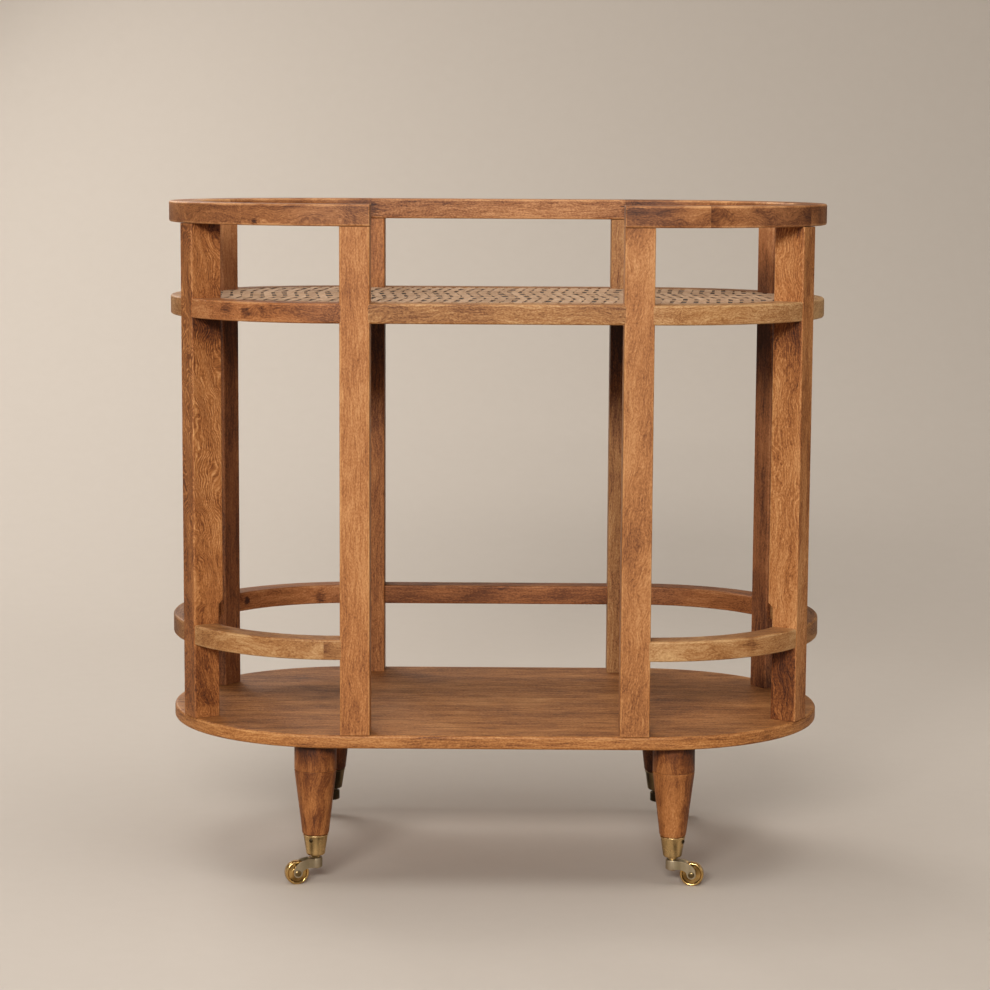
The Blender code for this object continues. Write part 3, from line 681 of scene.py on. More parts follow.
def brass_finish(name, bright, dull, roughness, tarnish, streak=0.6):
    """Aged brass: turned lines, tarnish in clouds and in streaks down the piece, the streaks partly painted
    reflection bands, polished edges.
    """
    finish = Finish(name)
    grain = finish.attribute("grain", "Vector")
    tone = finish.attribute("tone")
    wear = finish.attribute("wear")
    cloud = finish.noise(grain, (90.0, 90.0, 90.0), 3.0, 0.6)
    tarnish_and_reflection_streaks = finish.noise(grain, (8.0, 120.0, 120.0), 1.0)
    lines = finish.noise(grain, (3000.0, 60.0, 60.0), 2.0)
    share = (cloud - 0.5) * 0.6 + (tarnish_and_reflection_streaks - 0.5) * 3.0 * streak + tarnish - wear * 0.3 + (0.5 - tone)
    finish.set(base_color=finish.mix(share.step(0.0, 1.0), bright, dull))
    finish.set(metallic=1.0, roughness=roughness + (cloud - 0.5) * 0.18 + (lines - 0.5) * 0.08)
    finish.set(normal=finish.bump(lines, 0.05, 0.0002))
    return finish.material


# The cups' strong streaks stand in partly for painted reflection bands
cup_brass = brass_finish("cup_brass", (0.80, 0.57, 0.27), (0.13, 0.090, 0.039), 0.28, 0.55, 0.9)
# A darker brass for the back castors: painted shade under the board
rear_shade_brass = brass_finish("rear_shade_brass", (0.26, 0.190, 0.100), (0.045, 0.033, 0.020), 0.40, 0.45)
fork_brass = brass_finish("fork_brass", (0.56, 0.47, 0.33), (0.32, 0.26, 0.16), 0.42, 0.45)
wheel_brass = brass_finish("wheel_brass", (0.78, 0.52, 0.20), (0.26, 0.155, 0.05), 0.20, 0.35)
axle_brass = brass_finish("axle_brass", (0.24, 0.17, 0.08), (0.06, 0.042, 0.020), 0.34, 0.60)
screw_brass = brass_finish("screw_brass", (0.07, 0.048, 0.024), (0.02, 0.014, 0.008), 0.26, 0.60)


def cane_finish():
    """Natural cane strips, with fine lines along each strip and soft clouds."""
    finish = Finish("woven_cane")
    grain = finish.attribute("grain", "Vector")
    tone = finish.attribute("tone")
    fibre = finish.noise(grain, (14.0, 900.0, 300.0), 3.0, 0.6)
    cloud = finish.noise(grain, (22.0, 60.0, 60.0), 2.0)
    shade = 0.5 + (tone - 0.5) * 0.5 + (fibre - 0.5) * 0.6 + (cloud - 0.5) * 0.5
    stops = (
        (0.0, (0.14, 0.075, 0.036)),
        (0.4, (0.41, 0.250, 0.146)),
        (0.7, (0.58, 0.385, 0.246)),
        (1.0, (0.70, 0.515, 0.350)),
    )
    finish.set(base_color=finish.node("ShaderNodeValToRGB", {"stops": stops}, {0: shade}))
    finish.set(roughness=0.66 + (fibre - 0.5) * 0.2, normal=finish.bump(fibre, 0.25, 0.0003))
    finish.shader.inputs["Specular IOR Level"].default_value = 0.22
    return finish.material


cane_weave = cane_finish()


def backing_finish():
    """The ground that shows between the strips, coloured near black as painted shade in the gaps."""
    finish = Finish("painted_shade_backing")
    grain = finish.attribute("grain", "Vector")
    weave = finish.noise(grain, (400.0, 400.0, 400.0), 2.0)
    finish.set(base_color=finish.mix(weave, (0.030, 0.016, 0.009), (0.060, 0.034, 0.019)), roughness=0.8)
    return finish.material


painted_shade_backing = backing_finish()


# Posts

# Each post's finish and tone
POST_LOOKS = {
    "front_left": (post_wood, 0.63),
    "front_right": (right_post_wood, 0.58),
    "back_left": (back_wood, 0.45),
    "back_right": (gold_back_wood, 0.57),
    "left_front": (left_end_wood, 0.42),
    "left_back": (rear_wood, 0.52),
    "right_front": (right_end_wood, 0.55),
    "right_back": (rear_wood, 0.40),
}

# How far a post's grain leans sideways for each metre up
POST_LEANS = {"left_front": -0.16, "front_right": 0.10}


def station_frame(place, angle):
    """At a post's outer face: +Y points outwards."""
    return Matrix.Translation(place) @ Matrix.Rotation(angle - math.pi / 2, 4, "Z")


def post_station(label):
    """A post's place, its width and its depth at the foot."""
    first, second = label.split("_")
    if first in ("front", "back"):
        side, way = dict(SIDES)[second], dict(WAYS)[first]
        place = Vector((side * post_x, way * shelf_high.y, 0))
        return station_frame(place, way * math.pi / 2), post_width, post_depth
    side, way = dict(SIDES)[first], dict(WAYS)[second]
    angle = way * end_angle if side > 0 else math.pi - way * end_angle
    outward = Vector((math.cos(angle), math.sin(angle), 0))
    place = Vector((side * half_straight, 0, 0)) + outward * shelf_high.y
    return station_frame(place, angle), END_POST_WIDTH, END_POST_FOOT_DEPTH if way < 0 else post_depth


def post_block(name, width, foot_depth):
    """A squared post, stepped on its inner side if its foot is less deep than its head."""
    foot, top = board_high.z + FIT, top_low.z - FIT
    piece = named_primitive(name, bpy.ops.mesh.primitive_cube_add, size=1)
    start_edit(piece)
    bpy.ops.transform.resize(value=(width, post_depth, top - foot))
    bpy.ops.transform.translate(value=(0, -post_depth / 2, (top + foot) / 2))
    if foot_depth < post_depth:
        drop = post_depth - foot_depth
        for height in (END_POST_STEP, END_POST_STEP - drop):
            bpy.ops.mesh.select_all(action="SELECT")
            bpy.ops.mesh.bisect(plane_co=(0, 0, height), plane_no=(0, 0, 1))
        inner, below = NEAR - post_depth, END_POST_STEP - drop + NEAR
        pick(piece, "verts", lambda vertex: vertex.co.y < inner and vertex.co.z < below)
        bpy.ops.transform.translate(value=(0, drop, 0))
    end_edit()
    return piece


def ease_corners(piece):
    """Rounds a post's four upright corners, down over its step too."""

    def upright(edge):
        first, second = (vertex.co for vertex in edge.verts)
        return abs(first.z - second.z) > NEAR and abs(first.x - second.x) < NEAR / 10

    bevel_edges(piece, upright, POST_EASE, EASE_STEPS)


def make_post(label):
    station, width, foot_depth = post_station(label)
    piece = post_block(f"{label}_post_timber", width, foot_depth)
    ease_corners(piece)
    piece.data.transform(station)
    close_up(piece)
    return piece


posts = {label: make_post(label) for label in POST_LOOKS}
post_cutter = joined("post_cutter", [plain_copy(piece, "post_cutter") for piece in posts.values()])
leg_cutter = joined("leg_cutter", [copy_of(f"leg_{corner}", "leg_cutter") for corner in CORNERS])

for label, piece in posts.items():
    level_normals(piece)
    outward = middle_of(f"post_{label}")
    outward.z = 0
    finish, tone = POST_LOOKS[label]
    # Front posts take the bands of painted light and shade on every face; the others not on their outward
    # faces
    looks_out = None if label.startswith("front") else outward.normalized()
    lay_grain(piece, (POST_LEANS.get(label, 0.0), 0, 1), outward, tone, looks_out)
    dress(piece, f"post_{label}", "frame", "post_wood", finish)


# Rails

# Where a quarter of a rail shows a joint, in degrees from the middle of its end
RAIL_JOINTS = {"top_rail_left_front": -59, "top_rail_right_front": -74, "guard_rail_left_front": -86}


def make_quarter(tier, side_name, side, way_name, way):
    """The lengths between a straight side's post and an end post."""
    name = f"{tier.name}_{side_name}_{way_name}"
    at_top = way < 0 and tier is TOP_TIER
    run_start = post_x - post_width / 2 if at_top else post_x + GLUE_LINE
    first, last = -math.pi / 2, -end_angle - GLUE_LINE / tier.outer
    if name not in RAIL_JOINTS:
        return name, [rail_timber(f"{name}_bend", tier, side, way, first, last, run_start, at_top)]
    joint, half_line = math.radians(RAIL_JOINTS[name]), GLUE_LINE / tier.outer / 2
    near = rail_timber(f"{name}_bend", tier, side, way, first, joint - half_line, run_start, at_top)
    far = rail_timber(f"{name}_tail", tier, side, way, joint + half_line, last)
    return name, [near, far]


def make_end(tier, side_name, side):
    name = f"{tier.name}_{side_name}_end"
    span = end_angle - GLUE_LINE / tier.outer
    return name, [rail_timber(f"{name}_bend", tier, side, -1, -span, span)]


def make_tier(tier):
    """All lengths of a tier, by the names of their nodes. Only the shelf is closed at the front."""
    reach = post_x - GLUE_LINE
    made = [(f"{tier.name}_back", [straight_timber(f"{tier.name}_back_timber", tier, reach, 1)])]
    if tier is SHELF_TIER:
        made.append((f"{tier.name}_front", [straight_timber(f"{tier.name}_front_timber", tier, reach, -1)]))
    for side_name, side in SIDES:
        made.append(make_end(tier, side_name, side))
        for way_name, way in WAYS:
            made.append(make_quarter(tier, side_name, side, way_name, way))
    return made


# The pale tones of the top rail's left end and of the shelf rail's two ends are partly painted highlight
# Tones of single rails, the tone of all others, and how far one length strays from its rail's tone
RAIL_TONES = {
    "top_rail_back": 0.65,
    "top_rail_left_front": 0.48,
    "top_rail_right_front": 0.47,
    "top_rail_left_end": 0.60,
    "shelf_rail_front": 0.55,
    "shelf_rail_left_front": 0.505,
    "shelf_rail_right_front": 0.72,
    "shelf_rail_left_end": 0.62,
    "shelf_rail_right_end": 0.74,
    "guard_rail_left_front": 0.53,
    "guard_rail_right_front": 0.57,
    "guard_rail_left_end": 0.38,
    "guard_rail_right_end": 0.36,
    "guard_rail_back": 0.23,
    "guard_rail_left_back": 0.43,
    "guard_rail_right_back": 0.35,
}
RAIL_TONE = 0.48
TONE_SPREAD = 0.03

# Rails of another plank than the rest of their tier
ODD_RAILS = {
    "top_rail_back": top_back_wood,
    "shelf_rail_left_front": red_shelf_wood,
    "guard_rail_back": red_guard_wood,
    "guard_rail_left_back": red_guard_wood,
    "guard_rail_right_back": red_guard_wood,
}


# Faces that look the way given last are kept out of the tier's bands of painted light; on the guard these
# are its tops, which so stay darker as painted shade
def finish_rails(made, slot, material, cutters, painted_shade_way=None):
    for name, timbers in made:
        pieces = []
        for piece, along in timbers:
            for cutter in cutters:
                cut_away(piece, cutter)
            level_normals(piece)
            tone = RAIL_TONES.get(name, RAIL_TONE) + chance.uniform(-TONE_SPREAD, TONE_SPREAD)
            lay_grain(piece, along, UP, tone, painted_shade_way)
            pieces.append(piece)
        piece = joined(f"{name}_timber", pieces)
        dress(piece, name, "frame", slot, ODD_RAILS.get(name, material))


def stadium_prism(name, radius, low, high, steps=OVAL_STEPS):
    """An oval slab: a circle drawn apart at its middle and given thickness."""
    vertices = 2 * (steps + 1)
    add = bpy.ops.mesh.primitive_circle_add
    piece = named_primitive(name, add, vertices=vertices, radius=radius, fill_type="NGON")
    for index, vertex in enumerate(piece.data.vertices):
        side = 1 if index <= steps else -1
        angle = -math.pi / 2 + math.pi * (index % (steps + 1)) / steps
        vertex.co = (side * (half_straight + radius * math.cos(angle)), side * radius * math.sin(angle), low)
    start_edit(piece)
    extrude(0, 0, high - low)
    end_edit()
    return piece


seat_cutter = stadium_prism("seat_cutter", cane_high.y + FIT, cane_low.z - FIT, shelf_high.z + OVERCUT)
close_up(seat_cutter)
finish_rails(make_tier(TOP_TIER), "top_rail_wood", top_wood, [post_cutter])
finish_rails(make_tier(SHELF_TIER), "shelf_wood", shelf_wood, [seat_cutter, post_cutter])
finish_rails(make_tier(GUARD_TIER), "guard_wood", guard_wood, [post_cutter], UP)


# Legs and castors

def leg_centre(corner):
    centre = middle_of(f"leg_block_{corner}")
    centre.z = 0
    return centre


def cup_radius(height):
    share = (height - CUP_FOOT) / (CASTOR_TOP - CUP_FOOT)
    return CUP_FOOT_RADIUS + (CUP_RADIUS - CUP_FOOT_RADIUS) * share


def leg_profile():
    """A leg from its tenon down to the plug in its cup."""
    foot, plug = CASTOR_TOP + FIT, CUP_WALL + FIT
    toe, taper_foot = 0.0020, 0.0022
    slope = (LEG_RADIUS - LEG_FOOT_RADIUS) / (LEG_TOP - foot)
    return [
        (0, LEG_TENON_TOP),
        (LEG_TENON_RADIUS, LEG_TENON_TOP),
        (LEG_TENON_RADIUS, LEG_TOP),
        (LEG_RADIUS - 0.0006, LEG_TOP),
        (LEG_RADIUS, LEG_TOP - 0.0008),
        (LEG_FOOT_RADIUS + slope * taper_foot, foot + taper_foot),
        *arc((LEG_FOOT_RADIUS - toe, foot + toe), toe, 0, -90, 5),
        (cup_radius(CASTOR_TOP) - plug, foot),
        (cup_radius(CUP_FLOOR) - plug, CUP_FLOOR + FIT),
        (0, CUP_FLOOR + FIT),
    ]


def block_profile():
    """The round block over a leg, bored for its tenon."""
    foot, bore = LEG_TOP + FIT, LEG_TENON_RADIUS + FIT
    ease = 0.0008
    return [
        (LEG_RADIUS, BLOCK_TOP),
        *arc((LEG_RADIUS - ease, foot + ease), ease, 0, -90, 3),
        (bore, foot),
        (bore, BLOCK_TOP),
    ]


def cup_profile():
    """A castor cup: rolled lip, tapered wall, rounded foot, neck and riveted pintle."""
    lip = 0.0007
    lip_middle = (cup_radius(CASTOR_TOP) - 0.0002, CASTOR_TOP - lip)
    foot_round = 0.0032
    turn = (cup_radius(CUP_FOOT) - foot_round + 0.0004, CUP_FOOT + foot_round)
    return [
        (0, CUP_FLOOR),
        (cup_radius(CUP_FLOOR) - CUP_WALL, CUP_FLOOR),
        (cup_radius(CASTOR_TOP) - CUP_WALL, CASTOR_TOP),
        *arc(lip_middle, lip, 90, -90, 6),
        (cup_radius(CASTOR_TOP - 0.0018), CASTOR_TOP - 0.0018),
        *arc(turn, foot_round, 8, -90, 6),
        (NECK_RADIUS, CUP_FOOT),
        (NECK_RADIUS, BOSS_TOP + FIT),
        (PINTLE_RADIUS, BOSS_TOP + FIT),
        (PINTLE_RADIUS, BOSS_FOOT - FIT),
        (NECK_RADIUS, BOSS_FOOT - FIT),
        (NECK_RADIUS - 0.0005, BOSS_FOOT - 0.0011),
        (PINTLE_RADIUS, BOSS_FOOT - 0.0013),
        (0, BOSS_FOOT - 0.0013),
    ]


def both_sides(upper):
    """An outline's upper half and its mirror image."""
    return upper + [(radius, -height) for radius, height in reversed(upper)]


def wheel_profile():
    """A wheel: rounded rim, sunk disc and raised hub about its bore."""
    half, disc, hub, bore = 0.0047, 0.0026, 0.0050, 0.0025
    rim, rim_inner = 0.0014, WHEEL_RADIUS - 0.0028
    upper = [
        (bore, half - 0.0004),
        (hub - 0.0005, half - 0.0004),
        (hub, half - 0.0010),
        (hub + 0.0004, disc + 0.0004),
        (hub + 0.0010, disc),
        (rim_inner - 0.0006, disc),
        (rim_inner, disc + 0.0005),
        *arc((rim_inner + rim, half - rim), rim, 180, 90, 4),
        *arc((WHEEL_RADIUS - rim, half - rim), rim, 90, 0, 4),
    ]
    return both_sides(upper)


def axle_profile():
    """A rivet with a domed head outside each arm of the fork."""
    seat = FORK_WIDTH / 2 + FIT
    dome = [(0, seat + 0.0011), (0.0016, seat + 0.0010), (0.0029, seat + 0.0007)]
    return both_sides(dome + [(0.0037, seat), (0.0022, seat)])


def screw_profile():
    """A round-headed screw along +Z, with its seat at z = 0."""
    head, shank = 0.0023, 0.0013
    dome = [(0, 0.0016), (0.0010, 0.0015), (0.0018, 0.0011), (head, 0.0004)]
    return dome + [(head, FIT), (shank, FIT), (shank, -0.0068), (0, -0.0088)]


# The back legs' low tones are painted shade under the board
LEG_TONES = {"front_left": 0.49, "front_right": 0.43, "back_left": 0.15, "back_right": 0.12}
BRASS_TONE = 0.5
REAR_SHADE_BRASS_TONE = 0.1
BLOCK_SHADE = 0.04
RING_TARNISH = 0.5
# How much brighter a cup's lip is: polish and painted highlight
LIP_POLISH_AND_HIGHLIGHT = 0.5


def screw_matrix(corner):
    """From a screw along +Z to its place on the cup wall, by the CAD screw's own box."""
    centre = leg_centre(corner)
    out = middle_of(f"cup_screw_{corner}") - centre
    angle = math.atan2(out.y, out.x)
    slope = math.atan2(CUP_RADIUS - CUP_FOOT_RADIUS, CASTOR_TOP - CUP_FOOT)
    seat = Matrix.Translation((cup_radius(SCREW_HEIGHT), 0, SCREW_HEIGHT))
    tilt = Matrix.Rotation(math.pi / 2 + slope, 4, "Y")
    return Matrix.Translation(centre) @ Matrix.Rotation(angle, 4, "Z") @ seat @ tilt


def wheel_matrix(corner):
    """From a wheel about +Z to its place on its axle."""
    middle = middle_of(f"castor_wheel_{corner}")
    out = middle - leg_centre(corner)
    angle = math.atan2(out.y, out.x)
    turn = Matrix.Rotation(angle, 4, "Z") @ Matrix.Rotation(math.pi / 2, 4, "X")
    return Matrix.Translation(middle) @ turn


def make_fork(corner):
    piece = copy_of(f"castor_fork_{corner}", f"{corner}_castor_horn")
    sharp = math.radians(50)
    apply_modifier(piece, "BEVEL", width=FORK_EASE, segments=2, limit_method="ANGLE", angle_limit=sharp)
    close_up(piece)
    level_normals(piece)
    return piece


def tarnish_wheel(wheel, place, tone):
    """Gives a wheel its tone, darker on the sunk ring between its hub and its rim."""
    inside, (ring_start, ring_end) = place.inverted(), SUNK_RING
    radii = [(inside @ polygon.center).xy.length for polygon in wheel.data.polygons]
    tones = [tone - RING_TARNISH * (ring_start < radius < ring_end) for radius in radii]
    paint_faces(wheel.data, "tone", tones)


def polish_and_highlight_lip(cup, tone):
    """Brightens a cup's rolled lip: partly polish, as it is rubbed most, and partly a painted highlight."""
    heights = [polygon.center.z for polygon in cup.data.polygons]
    paint_faces(cup.data, "tone", [tone + LIP_POLISH_AND_HIGHLIGHT * (z > LIP_FOOT) for z in heights])


for corner in CORNERS:
    cup_finish, fork_finish, tone = cup_brass, fork_brass, BRASS_TONE
    # The back castors take the darker brass and a lower tone: painted shade under the board
    if corner.startswith("back"):
        cup_finish, fork_finish, tone = rear_shade_brass, rear_shade_brass, REAR_SHADE_BRASS_TONE
    place = Matrix.Translation(leg_centre(corner))
    block = turned(f"{corner}_leg_block_timber", block_profile(), place)
    lay_grain(block, UP, (1, 0.3, 0), LEG_TONES[corner] - BLOCK_SHADE)
    dress(block, f"leg_block_{corner}", "frame", "leg_wood", leg_wood)
    leg = turned(f"{corner}_leg_timber", leg_profile(), place)
    lay_grain(leg, UP, (1, 0.3, 0), LEG_TONES[corner])
    dress(leg, f"leg_{corner}", "frame", "leg_wood", leg_wood)
    cup = turned(f"{corner}_castor_cup_brass", cup_profile(), place)
    lay_grain(cup, UP, (1, 0, 0), tone)
    polish_and_highlight_lip(cup, tone)
    dress(cup, f"castor_cup_{corner}", "frame", "cup_brass", cup_finish)
    screw_place = screw_matrix(corner)
    screw = turned(f"{corner}_cup_screw_brass", screw_profile(), screw_place, SMALL_TURN_STEPS)
    lay_grain(screw, (1, 0, 0), UP, BRASS_TONE)
    dress(screw, f"cup_screw_{corner}", "frame", "screw_brass", screw_brass)
    fork = make_fork(corner)
    lay_grain(fork, UP, (1, 0, 0), tone)
    dress(fork, f"castor_fork_{corner}", f"swivel_{corner}", "fork_brass", fork_finish)
    wheel_place = wheel_matrix(corner)
    axle = turned(f"{corner}_axle_brass", axle_profile(), wheel_place, SMALL_TURN_STEPS)
    lay_grain(axle, (1, 0, 0), UP, BRASS_TONE)
    dress(axle, f"castor_axle_{corner}", f"swivel_{corner}", "axle_brass", axle_brass)
    wheel = turned(f"{corner}_wheel_brass", wheel_profile(), wheel_place)
    lay_grain(wheel, (0, 1, 0), UP, tone)
    tarnish_wheel(wheel, wheel_place, tone)
    dress(wheel, f"castor_wheel_{corner}", f"wheel_{corner}", "wheel_brass", wheel_brass)


# Bottom board

BOARD_TONE = 0.51
RIM_STEEPNESS = 0.75


def round_the_rim(point):
    """How far along the board's rim a point is, from the middle of its long side."""
    straight = max(-half_straight, min(half_straight, point.x))
    turn = math.atan2(abs(point.x - straight), abs(point.y))
    return straight + math.copysign(board_high.y * turn, point.x)


def lay_rim_grain(piece):
    """Turns the grain of the board's rim, so that it runs round the oval."""
    mesh = piece.data
    flat = [Vector(item.vector) for item in mesh.attributes["grain"].data]
    mesh.attributes.remove(mesh.attributes["grain"])
    grain = mesh.attributes.new("grain", "FLOAT_VECTOR", "CORNER")
    for polygon in mesh.polygons:
        on_rim = abs(polygon.normal.z) < RIM_STEEPNESS
        for corner, index in zip(polygon.loop_indices, polygon.vertices):
            point = mesh.vertices[index].co
            rim = Vector((round_the_rim(point), point.z, 0))
            grain.data[corner].vector = rim if on_rim else flat[index]


def make_board():
    piece = stadium_prism("bottom_board_timber", board_high.y, board_low.z, board_high.z, BOARD_STEPS)
    close_up(piece)

    def level(edge):
        return abs(edge.verts[0].co.z - edge.verts[1].co.z) < TINY

    bevel_edges(piece, level, BOARD_EASE, BOARD_EASE_STEPS)
    cut_away(piece, leg_cutter)
    level_normals(piece)
    lay_grain(piece, (1, 0, 0), UP, BOARD_TONE, UP)
    lay_rim_grain(piece)
    dress(piece, "bottom_board", "frame", "board_wood", board_wood)


make_board()


# Woven cane

STRIP_PITCH = 0.0130
STRIP_WIDTH = 0.0088
STRIP_THICKNESS = 0.0005
WEAVE_RISE = 0.0002
BACKING = 0.0020
CROSS_PITCH = 0.0500
CROSS_WIDTH = 0.0140
ZIGZAG = 0.0060
ZIGZAG_LENGTH = 0.2500
ZIGZAG_SPREAD = 0.018
PLACE_SPREAD = 0.0004
WIDTH_SPREAD = 0.0010
WANDER = 0.0005
WANDER_RATE = 40
STRIP_TONES = (0.32, 0.72)
DIVE_SHADE = 0.30
cane_radius = cane_high.y - FIT
weave_level = (cane_low.z + BACKING + cane_high.z) / 2


def oval_reach_y(x):
    beyond = max(0.0, abs(x) - half_straight)
    return math.sqrt(max(0.0, cane_radius**2 - beyond**2))


def oval_reach_x(y):
    return half_straight + math.sqrt(max(0.0, cane_radius**2 - min(abs(y), cane_radius) ** 2))


def zigzag(run):
    """How far the strips lean aside, first one way and then back."""
    phase = (run / ZIGZAG_LENGTH + 0.25) % 1.0
    return ZIGZAG * (4 * abs(phase - 0.5) - 1)


def strip_grid(name, steps):
    return named_primitive(
        name, bpy.ops.mesh.primitive_grid_add, x_subdivisions=steps, y_subdivisions=2, size=1
    )


def finish_strip(piece, along):
    """Gives a strip its thickness, with painted shade where it dives under another."""
    apply_modifier(piece, "SOLIDIFY", thickness=STRIP_THICKNESS, offset=0.0)
    close_up(piece)
    tone = chance.uniform(*STRIP_TONES)
    lay_grain(piece, along, UP, tone)
    lifts = [(polygon.center.z - weave_level) / WEAVE_RISE for polygon in piece.data.polygons]
    paint_faces(piece.data, "tone", [tone + DIVE_SHADE * min(lift, 0.0) for lift in lifts])
    return piece


def make_strip(index, count):
    """A strip from front to back, over one cross strip and under the next, cut off at the oval."""
    offset = (index - (count - 1) / 2) * STRIP_PITCH + chance.uniform(-PLACE_SPREAD, PLACE_SPREAD)
    width = STRIP_WIDTH + chance.uniform(-WIDTH_SPREAD, WIDTH_SPREAD)
    piece = strip_grid(f"cane_strip_{index}", 60)
    phase, shift = chance.uniform(0, math.tau), chance.uniform(-ZIGZAG_SPREAD, ZIGZAG_SPREAD)
    for vertex in piece.data.vertices:
        run = vertex.co.x * 2 * cane_radius
        wander = WANDER * math.sin(run * WANDER_RATE + phase)
        side = offset + vertex.co.y * width + zigzag(run + shift) + wander
        limit = oval_reach_y(side)
        lift = math.cos(math.pi * (run / CROSS_PITCH + index))
        z = weave_level + lift * WEAVE_RISE
        vertex.co = (side, max(-limit, min(limit, run)), z)
    return finish_strip(piece, (0, 1, 0))


def make_cross_strip(index, count, strips):
    """A strip from side to side, which crosses the others."""
    middle = (index - (count - 1) / 2) * CROSS_PITCH
    reach = half_straight + cane_radius
    piece = strip_grid(f"cane_cross_strip_{index}", 4 * strips)
    for vertex in piece.data.vertices:
        run = vertex.co.x * 2 * reach
        side = middle + vertex.co.y * CROSS_WIDTH
        limit = oval_reach_x(side)
        place = run / STRIP_PITCH + (strips - 1) / 2
        lift = -math.cos(math.pi * (place + middle / CROSS_PITCH))
        z = weave_level + lift * WEAVE_RISE
        vertex.co = (max(-limit, min(limit, run)), side, z)
    return finish_strip(piece, (1, 0, 0))


def make_cane():
    strips = math.ceil(2 * (half_straight + cane_radius) / STRIP_PITCH)
    crosses = 2 * math.floor(cane_radius / CROSS_PITCH) + 1
    pieces = [make_strip(index, strips) for index in range(strips)]
    pieces += [make_cross_strip(index, crosses, strips) for index in range(crosses)]
    for piece in pieces:
        piece.data.materials.append(cane_weave)
    # A backing sheet under the strips, its near black colour painted shade in the gaps
    backing = stadium_prism("painted_shade_backing", cane_radius, cane_low.z, cane_low.z + BACKING)
    close_up(backing)
    lay_grain(backing, (1, 0, 0), UP, 0.5)
    backing.data.materials.append(painted_shade_backing)
    piece = joined("woven_cane_panel", pieces + [backing])
    smooth(piece)
    dress(piece, "cane_panel", "frame", "cane")


make_cane()
for cutter in (post_cutter, leg_cutter, seat_cutter):
    bpy.data.objects.remove(cutter)


# Floor, light and camera

STUDIO_HAZE = (0.56, 0.50, 0.43)
SWEEP_SIZE = 16
SWEEP_PLACE = (0, -4.5, 0)
WALL_HEIGHT = 6
WALL_CURVE = 2.2
WALL_CURVE_STEPS = 32


def sweep_finish():
    """Pale and matt. Far in front and at the sides it fades into the haze of the studio."""
    finish = Finish("pale_sweep")
    place = finish.node("ShaderNodeTexCoord", output="Object")
    grit = finish.noise(place, (40.0, 40.0, 40.0), 3.0)
    pale = finish.mix(grit, (0.585, 0.518, 0.452), (0.605, 0.538, 0.472))
    x = finish.axis(place, "X")
    y = finish.axis(place, "Y")
    far = 1 - (1 - y.step(-0.7, -2.6)) * (1 - abs(x).step(1.6, 3.2))
    camera_ray = finish.ray("Camera")
    seen = camera_ray + finish.ray("Glossy") * 0.5
    pale = finish.mix(far, pale, (0.04, 0.037, 0.033))
    finish.set(base_color=finish.mix(seen, (0.36, 0.27, 0.18), pale), roughness=0.85)
    finish.set(emission_color=finish.mix(far * camera_ray, (0, 0, 0), STUDIO_HAZE), emission_strength=1.0)
    return finish.material


def make_stage():
    """A pale sweep: a floor whose back edge is drawn up into a wall, with a wide curve between."""
    sweep = named_primitive("studio_sweep", bpy.ops.mesh.primitive_plane_add, size=SWEEP_SIZE)
    sweep.data.transform(Matrix.Translation(SWEEP_PLACE))
    start_edit(sweep)
    pick(sweep, "edges", lambda edge: all(vertex.co.y > 0 for vertex in edge.verts))
    extrude(0, 0, WALL_HEIGHT)
    end_edit()
    bevel_edges(sweep, lambda edge: len(edge.link_faces) == 2, WALL_CURVE, WALL_CURVE_STEPS)
    smooth(sweep)
    sweep.data.materials.append(sweep_finish())


def make_world():
    world = bpy.data.worlds.new("studio")
    bpy.context.scene.world = world
    world.use_nodes = True
    shading = Shading(world.node_tree)
    seen = shading.ray("Camera") + shading.ray("Glossy") * 0.15
    color = shading.mix(seen, (0.096, 0.091, 0.084), STUDIO_HAZE)
    background = world.node_tree.nodes["Background"]
    shading.feed(background.inputs["Color"], color)


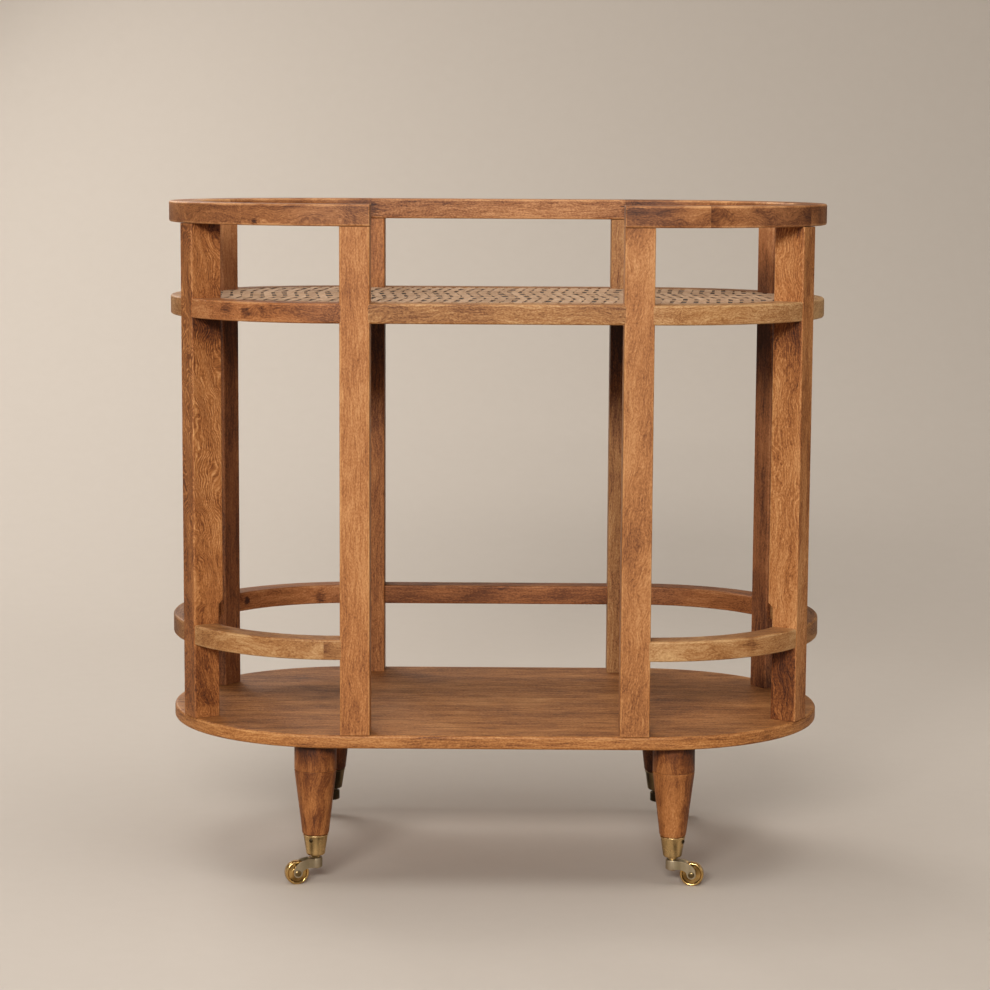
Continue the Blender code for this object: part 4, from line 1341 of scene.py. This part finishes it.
def add_area(name, place, target, size, power, color):
    light = bpy.data.lights.new(name, "AREA")
    light.shape = "RECTANGLE"
    light.size, light.size_y = size
    light.energy = power
    light.color = color
    lamp = bpy.data.objects.new(name, light)
    bpy.context.scene.collection.objects.link(lamp)
    lamp.visible_camera = False
    lamp.location = place
    lamp.rotation_euler = (Vector(target) - Vector(place)).to_track_quat("-Z", "Y").to_euler()


LAMP_TARGET = (0, 0, 0.5)
WARM_WHITE = (1.0, 0.97, 0.92)
SOFT_WHITE = (1.0, 0.98, 0.95)

# The photograph's camera, fitted to the oval's edges and the castors
CAMERA_PLACE = Vector((0.00508, -3.17898, 0.84340))
CAMERA_YAW = -0.0021
CAMERA_PITCH = 0.1279
CAMERA_ROLL = 0.0057
CAMERA_LENS = 96.63


def make_camera():
    data = bpy.data.cameras.new("camera")
    data.lens = CAMERA_LENS
    data.sensor_width = 36
    camera = bpy.data.objects.new("camera", data)
    bpy.context.scene.collection.objects.link(camera)
    level = math.cos(CAMERA_PITCH)
    forward = Vector((math.sin(CAMERA_YAW) * level, math.cos(CAMERA_YAW) * level, -math.sin(CAMERA_PITCH)))
    right = Vector((math.cos(CAMERA_YAW), -math.sin(CAMERA_YAW), 0))
    up = right.cross(forward)
    turned_right = math.cos(CAMERA_ROLL) * right + math.sin(CAMERA_ROLL) * up
    turned_up = math.cos(CAMERA_ROLL) * up - math.sin(CAMERA_ROLL) * right
    axes = Matrix((turned_right, turned_up, -forward)).transposed()
    camera.matrix_world = Matrix.Translation(CAMERA_PLACE) @ axes.to_4x4()
    bpy.context.scene.camera = camera


make_stage()
make_world()
add_area("key", (-0.8, -5.2, 2.5), LAMP_TARGET, (2.6, 0.8), 234, WARM_WHITE)
add_area("overhead", (0.0, -0.4, 3.4), (0, -0.05, 0.5), (3.0, 2.4), 50, SOFT_WHITE)
add_area("rear_left", (-1.7, 2.3, 2.2), LAMP_TARGET, (1.8, 1.4), 45, SOFT_WHITE)
add_area("left_side", (-3.2, -0.9, 1.4), LAMP_TARGET, (1.8, 1.8), 12, SOFT_WHITE)
add_area("right_side", (3.2, -0.9, 1.4), LAMP_TARGET, (1.8, 1.8), 12, SOFT_WHITE)
make_camera()
bpy.context.scene.view_settings.view_transform = "Standard"
